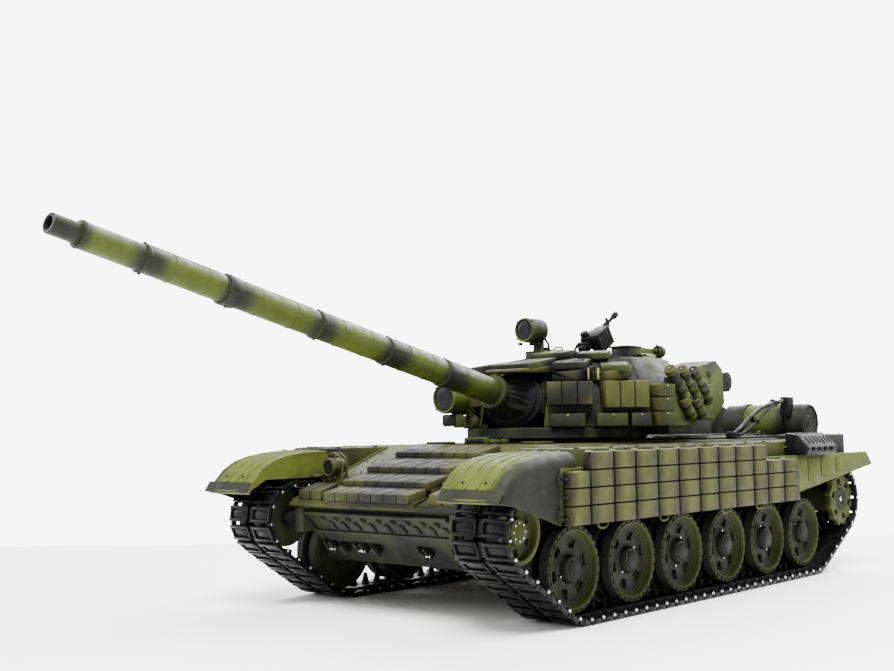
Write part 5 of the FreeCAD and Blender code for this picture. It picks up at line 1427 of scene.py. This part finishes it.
@dataclass
class Cupola:
    """Commander's cupola with its periscopes, lamp, hatch lid and roof machine gun."""

    centre: Point = (-26.0, 15.0, 145.2)
    gun_pivot: Point = (-12.0, 39.0, 160.0)
    gun_rise: float = math.radians(32)

    def ring(self) -> None:
        """Rotating ring with periscopes, the lamp and its bracket."""
        ring = Shape()
        ring.node("cupola", TURRET_PAINT, 0.5, sharp=40)
        centre = Vector(self.centre)
        for turn in (-205, 25, 100):
            spin = Matrix.Rotation(math.radians(turn), 4, "Z")
            out = spin @ LEFT
            middle = centre + out * 17.2 + UP * 5.6
            ring.slab(middle, (2.4, 3.2, 2.2), DARK_PAINT, 0.5, spin)
            glass = middle + out * 2.5 + UP * 0.4
            ring.slab(glass, (0.3, 2.5, 1.3), LAMP_GLASS, 0.15, spin)
        ring.bolts([centre + Vector((math.cos(turn / 8 * math.tau), math.sin(turn / 8 * math.tau),
                                     0)) * 20.4 + UP * 3.0
                    for turn in range(8)], UP, TURRET_PAINT, 0.8, 0.5)
        add_lamp(ring, (-26.0, -16.0, 166.6), 8.0)
        ring.rod((-26, -2, 166.6), (-26, -0.4, 166.6), 6.6, TURRET_PAINT, 5.0, sides=32, edge=0.3)
        ring.rod((-30, -6, 158.0), (-22, -6, 158.0), 1.2, DARK_PAINT, sides=14)
        ring.tube([(-20, -6, 163), (-17, -3, 159), (-16, -3, 153), (-17, -2, 149)], 0.8, BLACK_PLASTIC, 3)
        ring.rod((-36.5, -10, 158.0), (-33.5, -10, 158.0), 1.0, DARK_PAINT, sides=12)
        x, y, z = self.gun_pivot
        ring.turned([(-1.0, 0), (-1.0, 4.4), (0, 4.8), (1.0, 4.4), (1.0, 0)], (x - 6.6, y, z - 4), LEFT,
                    BLACK_PLASTIC,
                    36)
        ring.tube([(x - 5, y - 2, z - 12), (x - 9, y - 5, z - 9), (x - 8, y - 7, z - 3), (x - 5, y - 5, z)],
                  0.9,
                  BLACK_PLASTIC, 3)
        ring.rod((x - 5.8, y, z), (x - 3.6, y, z), 2.4, BLACK_PLASTIC, sides=18)
        ring.piece("cupola_ring", "cupola", "cupola")
        lid = Shape()
        lid.node("commander_hatch", TURRET_PAINT, 0.5)
        lid.turned([(0, 7.6), (0.7, 7.4), (0.9, 6.6), (0.9, 0)], centre + UP * 8.4, UP, TURRET_PAINT, 48)
        lid.tube([(-31, 22, 154.4), (-31, 22, 156.8), (-24, 23, 156.8), (-24, 23, 154.4)], 0.6, DARK_PAINT,
                 2)
        lid.piece("commander_hatch_lid", "commander_hatch", "commander_hatch")

    def machine_gun(self) -> None:
        """Machine gun: receiver, fluted jacket, sight, grips and ribbed ammunition box."""
        gun = Shape()
        turn = Matrix.Rotation(self.gun_rise, 4, "X")
        pose = Matrix.Translation(Vector(self.gun_pivot)) @ turn
        gun.node("machine_gun", BLACK_PLASTIC, 0.35)

        def at(x: float, y: float, z: float) -> Vector:
            """Point of the gun's own axes, from its pivot."""
            return pose @ Vector((x, y, z))

        for number in range(5):
            gun.rod(at(0.2, 16.5 + 2.2 * number, 1.4), at(0.2, 17.5 + 2.2 * number, 1.4), 1.75,
                    BLACK_PLASTIC, sides=16)
        gun.rod(at(0.2, 36, 1.4), at(0.2, 39.4, 1.4), 2.3, BLACK_PLASTIC, 1.8, sides=16)
        gun.rod(at(0.2, 12, -1.0), at(0.2, 27, -1.0), 0.8, BLACK_PLASTIC, sides=12)
        slabs = [((0.2, 26, 3.6), (0.5, 1.2, 1.6), 0.2), ((0.1, 1, 4.8), (2.4, 7.0, 1.0), 0.4),
                 ((-1.0, -2, 7.2), (2.0, 2.6, 2.2), 0.4)]
        slabs += [((11.1, -3 + 3.2 * number, -0.5), (0.3, 0.9, 5.6), 0.2) for number in range(5)]
        slabs.append(((7.1, 3.5, 6.2), (4.2, 7.6, 0.5), 0.25))
        for place, half, edge in slabs:
            gun.slab(at(*place), half, BLACK_PLASTIC, edge, turn)
        for x in (-2.4, 2.4):
            gun.tube([at(x, -9, 2), at(x, -11.6, 2.6), at(x, -11.6, -1.0)], 0.7, BLACK_PLASTIC, 3)
        gun.piece("machine_gun_details", "machine_gun", "machine_gun")

    def build(self) -> None:
        """Make the cupola group."""
        self.ring()
        self.machine_gun()


@dataclass
class Gun:
    """Main gun: bored barrel, thermal sleeves with clamps, cradle and breech."""

    steps: tuple[tuple[float, float, float, float], ...] = (
        (15.3, 1.2, 6.7, 6.4), (48.4, 1.6, 7.3, 6.7), (99.0, 4.2, 8.0, 7.0), (157.8, 1.8, 7.9, 7.3),
        (210.0, 2.0, 8.1, 7.6), (259.0, 2.2, 8.5, 7.9), (306.0, 2.2, 10.4, 7.9))
    muzzle_radius: float = 4.9
    bore_radius: float = 3.3
    block_front: float = 10.0

    def build(self) -> None:
        """Turn the barrel, then strap on the sleeves and add the breech."""
        gun = Shape()
        muzzle = TRUNNION + GUN_LINE * GUN_REACH
        back = GUN_LINE * -1
        above = GUN_LINE.cross(LEFT).normalized()
        if above.z < 0:
            above = above * -1
        section = [(0.0, self.bore_radius), (0.0, self.muzzle_radius - 0.3), (0.4, self.muzzle_radius)]
        radius = self.muzzle_radius
        for distance, half, ring, sleeve in self.steps:
            section += [(distance - half, radius), (distance - half + 0.3, ring - 0.2),
                        (distance - half + 0.7, ring),
                        (distance + half - 0.7, ring), (distance + half - 0.3, ring - 0.2),
                        (distance + half, sleeve)]
            radius = sleeve
        section += [(GUN_REACH - self.block_front, radius),
                    (GUN_REACH - self.block_front, self.bore_radius)]
        gun.turned(section, muzzle, back, GUN_PAINT, 72)
        gun.turned([(0.3, self.bore_radius), (0.3, self.bore_radius - 0.25),
                    (120.0, self.bore_radius - 0.25),
                    (120.0, self.bore_radius), (0.3, self.bore_radius)], muzzle, back, GROOVE_RUBBER, 36)
        for (start, half, _, sleeve), (end, next_half, _, _) in zip(self.steps[:-1], self.steps[1:]):
            if end - start < 34:
                continue
            spine = [muzzle + back * (start + half + 1.5) + above * (sleeve + 0.15),
                     muzzle + back * (end - next_half - 1.5) + above * (sleeve + 0.15)]
            gun.rod(spine[0], spine[1], 0.75, DARK_PAINT, sides=10, edge=0.1)
            for share in (0.3, 0.7):
                gun.turned([(-0.5, sleeve - 0.2), (-0.5, sleeve + 0.22), (0.5, sleeve + 0.22),
                            (0.5, sleeve - 0.2),
                            (-0.5, sleeve - 0.2)], muzzle + back * (start + (end - start) * share), back,
                           GUN_PAINT, 48)
        for distance, half, ring, _ in self.steps[1:]:
            for turn in range(0, 360, 90):
                out = Matrix.Rotation(math.radians(turn), 4, back) @ above
                place = muzzle + back * distance + out * (ring - 0.3)
                gun.rod(place, place + out * 0.9, 0.8, DARK_PAINT, sides=6, edge=0)
        turn = Matrix.Rotation(-GUN_RISE, 4, "X")
        pose = Matrix.Translation(TRUNNION) @ turn
        for low, high, finish in (((-14, -10, -8.5), (14, 10, 8.5), DARK_PAINT),
                                  ((-8, 10, -8), (8, 38, 8), ARM_METAL)):
            centre = pose @ ((Vector(low) + Vector(high)) / 2)
            half = (Vector(high) - Vector(low)) / 2
            gun.slab(centre, half, finish, 0.6, turn)
        gun.rod(TRUNNION - LEFT * 19, TRUNNION + LEFT * 19, 3.0, ARM_METAL, sides=32)
        gun.piece("main_gun", "gun", "gun_barrel")


@dataclass
class DustCover:
    """Proofed canvas boot gathered between the turret's mouth and the gun's collar."""

    rings: int = 56
    around: int = 192
    back_centre: Point = (0.0, -62.5, 118.6)
    back_half: Point = (23.6, 17.2)
    front_centre: Point = (0.0, -79.6, 122.9)
    front_half: Point = (8.7, 8.7)
    bead_places: tuple[float, ...] = (0.06, 0.22)
    bead_height: float = 1.7
    bead_width: float = 0.055
    pleats: int = 15
    thickness: float = 0.5

    def place(self, along: float, turn: float) -> Vector:
        """Point of the cloth at a share of its length (0 at the turret) and a turn round it."""
        centre = Vector(self.back_centre).lerp(Vector(self.front_centre), along)
        ease = along ** 0.8
        wide = self.back_half[0] * (1 - ease) + self.front_half[0] * ease
        tall = self.back_half[1] * (1 - ease) + self.front_half[1] * ease
        swell = 0.0
        for bead in self.bead_places:
            swell += self.bead_height * math.exp(-((along - bead) / self.bead_width) ** 2)
        slack = math.sin(math.pi * min(1.0, max(0.0, (along - 0.26) / 0.74)))
        folds = noise.noise(Vector((math.cos(turn) * 3.4, math.sin(turn) * 3.4, along * 1.1)))
        fine = noise.noise(Vector((math.cos(turn) * 8.0 + 5, math.sin(turn) * 8.0, along * 1.6)))
        crease = noise.noise(Vector((math.cos(turn) * 2.0, math.sin(turn) * 2.0 + 9, along * 6.0)))
        pleats = 1.25 * math.sin(turn * self.pleats + folds * 5.0) * 0.55
        ripple = slack * (pleats + folds * 1.5 + fine * 1.1 + crease * 0.7)
        bulge = slack * 0.9 + swell + ripple - 0.6
        rise = Vector((0, math.sin(GUN_RISE) * 0.6, 1)).normalized()
        return centre + LEFT * (math.cos(turn) * (wide + bulge)) + rise * (math.sin(turn) * (tall + bulge))

    def build(self) -> None:
        """Lay the cloth and give it thickness and a weave map."""
        cloth = bmesh.new()
        bmesh.ops.create_grid(cloth, x_segments=self.around, y_segments=self.rings, size=0.5, calc_uvs=True)
        weave = cloth.loops.layers.uv.new("UVMap")
        for face in cloth.faces:
            for corner in face.loops:
                spot = corner.vert.co
                corner[weave].uv = (spot.x + 0.5, spot.y + 0.5)
        for vert in cloth.verts:
            vert.co = self.place(vert.co.y + 0.5, (vert.co.x + 0.5) * math.tau)
        bmesh.ops.remove_doubles(cloth, verts=cloth.verts, dist=0.02)
        bmesh.ops.recalc_face_normals(cloth, faces=cloth.faces)
        skin = cloth.faces[:]
        bmesh.ops.solidify(cloth, geom=skin, thickness=self.thickness)
        bmesh.ops.translate(cloth, vec=Vector((0, HULL_MIDDLE, 0)), verts=cloth.verts)
        bmesh.ops.scale(cloth, vec=Vector((MM, MM, MM)), verts=cloth.verts)
        for face in cloth.faces:
            face.smooth = True
        mesh = meshed(cloth, "dust_cover")
        mesh.materials.append(coat(BLACK_CANVAS))
        cover = placed("dust_cover", mesh)
        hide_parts("mantlet_cover")
        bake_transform(cover)


# ------------------------------------------------------------------ studio


@dataclass
class Studio:
    """Pale floor, soft lights and the camera."""

    camera_place: Point = (468.6, -567.1, 101.9)
    azimuth: float = 41.80
    elevation: float = -4.41
    roll: float = -0.718
    lens: float = 48.43
    floor_half: float = 7.0
    floor_behind: float = 0.365
    sky_light: float = 1.0
    sky_seen: float = 8.0

    def camera(self) -> None:
        """Put the camera where the tank is looked at from."""
        data = bpy.data.cameras.new("camera")
        data.lens = self.lens
        data.sensor_width = 36.0
        data.clip_start = 0.01
        camera = placed("camera", data)
        turn, rise = math.radians(self.azimuth), math.radians(self.elevation)
        back = Vector((math.sin(turn) * math.cos(rise), -math.cos(turn) * math.cos(rise), math.sin(rise)))
        right = UP.cross(back).normalized()
        above = back.cross(right)
        lean = math.radians(self.roll)
        right, above = (right * math.cos(lean) + above * math.sin(lean),
                        above * math.cos(lean) - right * math.sin(lean))
        pose = Matrix((right, above, back)).transposed().to_4x4()
        camera.matrix_world = Matrix.Translation(Vector(self.camera_place) * MM) @ pose
        bpy.context.scene.camera = camera

    def light(self, name: str, place: Point, size: float, watts: float) -> None:
        """Hang a soft square light that faces the tank."""
        data = bpy.data.lights.new(name, "AREA")
        data.size = size
        data.energy = watts
        lamp = placed(name, data)
        spot = Vector(place)
        facing = (Vector((0, 0, 0.08)) - spot).to_track_quat("-Z", "Y").to_matrix().to_4x4()
        lamp.matrix_world = Matrix.Translation(spot) @ facing

    def build(self) -> None:
        """Set the stage."""
        self.camera()
        part = bmesh.new()
        bmesh.ops.create_grid(part, x_segments=1, y_segments=1, size=self.floor_half)
        bmesh.ops.translate(part, vec=Vector((0, self.floor_behind - self.floor_half, 0)), verts=part.verts)
        bmesh.ops.rotate(part, cent=(0, 0, 0), verts=part.verts,
                         matrix=Matrix.Rotation(math.radians(self.azimuth), 3, "Z"))
        mesh = meshed(part, "floor")
        floor = placed("floor", mesh)
        graph = Graph("pale_floor")
        tone = graph.speckle(0.0, 1.0, 3.0, 2.0)
        graph.join(graph.mix(tone, rgba((0.88, 0.88, 0.875)), rgba((0.91, 0.91, 0.905))),
                   graph.shader.inputs["Base Color"])
        graph.shader.inputs["Roughness"].default_value = 0.5
        mesh.materials.append(graph.material)
        world = bpy.data.worlds.new("studio")
        world.use_nodes = True
        sky = world.node_tree.nodes["Background"]
        sky.inputs[0].default_value = rgba((0.97, 0.98, 0.97))
        seen = world.node_tree.nodes.new("ShaderNodeLightPath")
        strength = world.node_tree.nodes.new("ShaderNodeMapRange")
        world.node_tree.links.new(seen.outputs["Is Camera Ray"], strength.inputs["Value"])
        strength.inputs["To Min"].default_value = self.sky_light
        strength.inputs["To Max"].default_value = self.sky_seen
        world.node_tree.links.new(strength.outputs[0], sky.inputs[1])
        bpy.context.scene.world = world
        self.light("key", (0.7, -0.9, 2.1), 1.1, 230.0)
        self.light("left_fill", (-1.8, -1.1, 1.1), 1.5, 50.0)
        self.light("back_rim", (0.4, 1.9, 1.5), 1.5, 110.0)
        self.light("far_floor", (-1.6, 2.6, 2.4), 2.4, 260.0)


def dress_frame() -> None:
    """Give every frame node that still shows a finish, so that none stays plain."""
    paints: dict[str, Finish] = {
        "upper_hull": HULL_PAINT, "lower_hull": BOW_PAINT, "engine_deck": HULL_PAINT,
        "bow_plate": BOW_PAINT,
        "glacis_armour": GLACIS_PAINT, "front_mudguards": HULL_PAINT, "side_skirts": PLATE_PAINT,
        "skirt_armour": SKIRT_PAINT, "fender_tanks": HULL_PAINT, "exhaust_cover": BLACK_PLASTIC,
        "fuel_drums": HULL_PAINT, "headlights": HULL_PAINT, "driver_hatch": HULL_PAINT,
        "turret_shell": TURRET_PAINT, "turret_armour": BLOCK_PAINT, "smoke_launchers": TURRET_PAINT,
        "turret_bins": TURRET_PAINT, "gunner_sight": TURRET_PAINT, "main_searchlight": TURRET_PAINT,
        "gun_barrel": GUN_PAINT, "mantlet_cover": BLACK_CANVAS, "cupola": TURRET_PAINT,
        "commander_hatch": TURRET_PAINT, "gunner_hatch": TURRET_PAINT, "machine_gun": BLACK_PLASTIC,
        "tow_cable": BLACK_PLASTIC, "battery_pack": CELL_PLASTIC, "circuit_board": BOARD_PLASTIC,
        "drive_units": BLACK_PLASTIC,
    }
    for name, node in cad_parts.items():
        finish = paints.get(name, WHEEL_PAINT)
        node.data.materials.clear()
        node.data.materials.append(coat(finish))


def main() -> None:
    """Build the studio and every sub-assembly in order."""
    logging.basicConfig(level=logging.INFO)
    Studio().build()
    dress_frame()
    RunningGear().build()
    Hull().build()
    Turret().build()
    Cupola().build()
    Gun().build()
    DustCover().build()


if __name__ == "__main__":
    main()
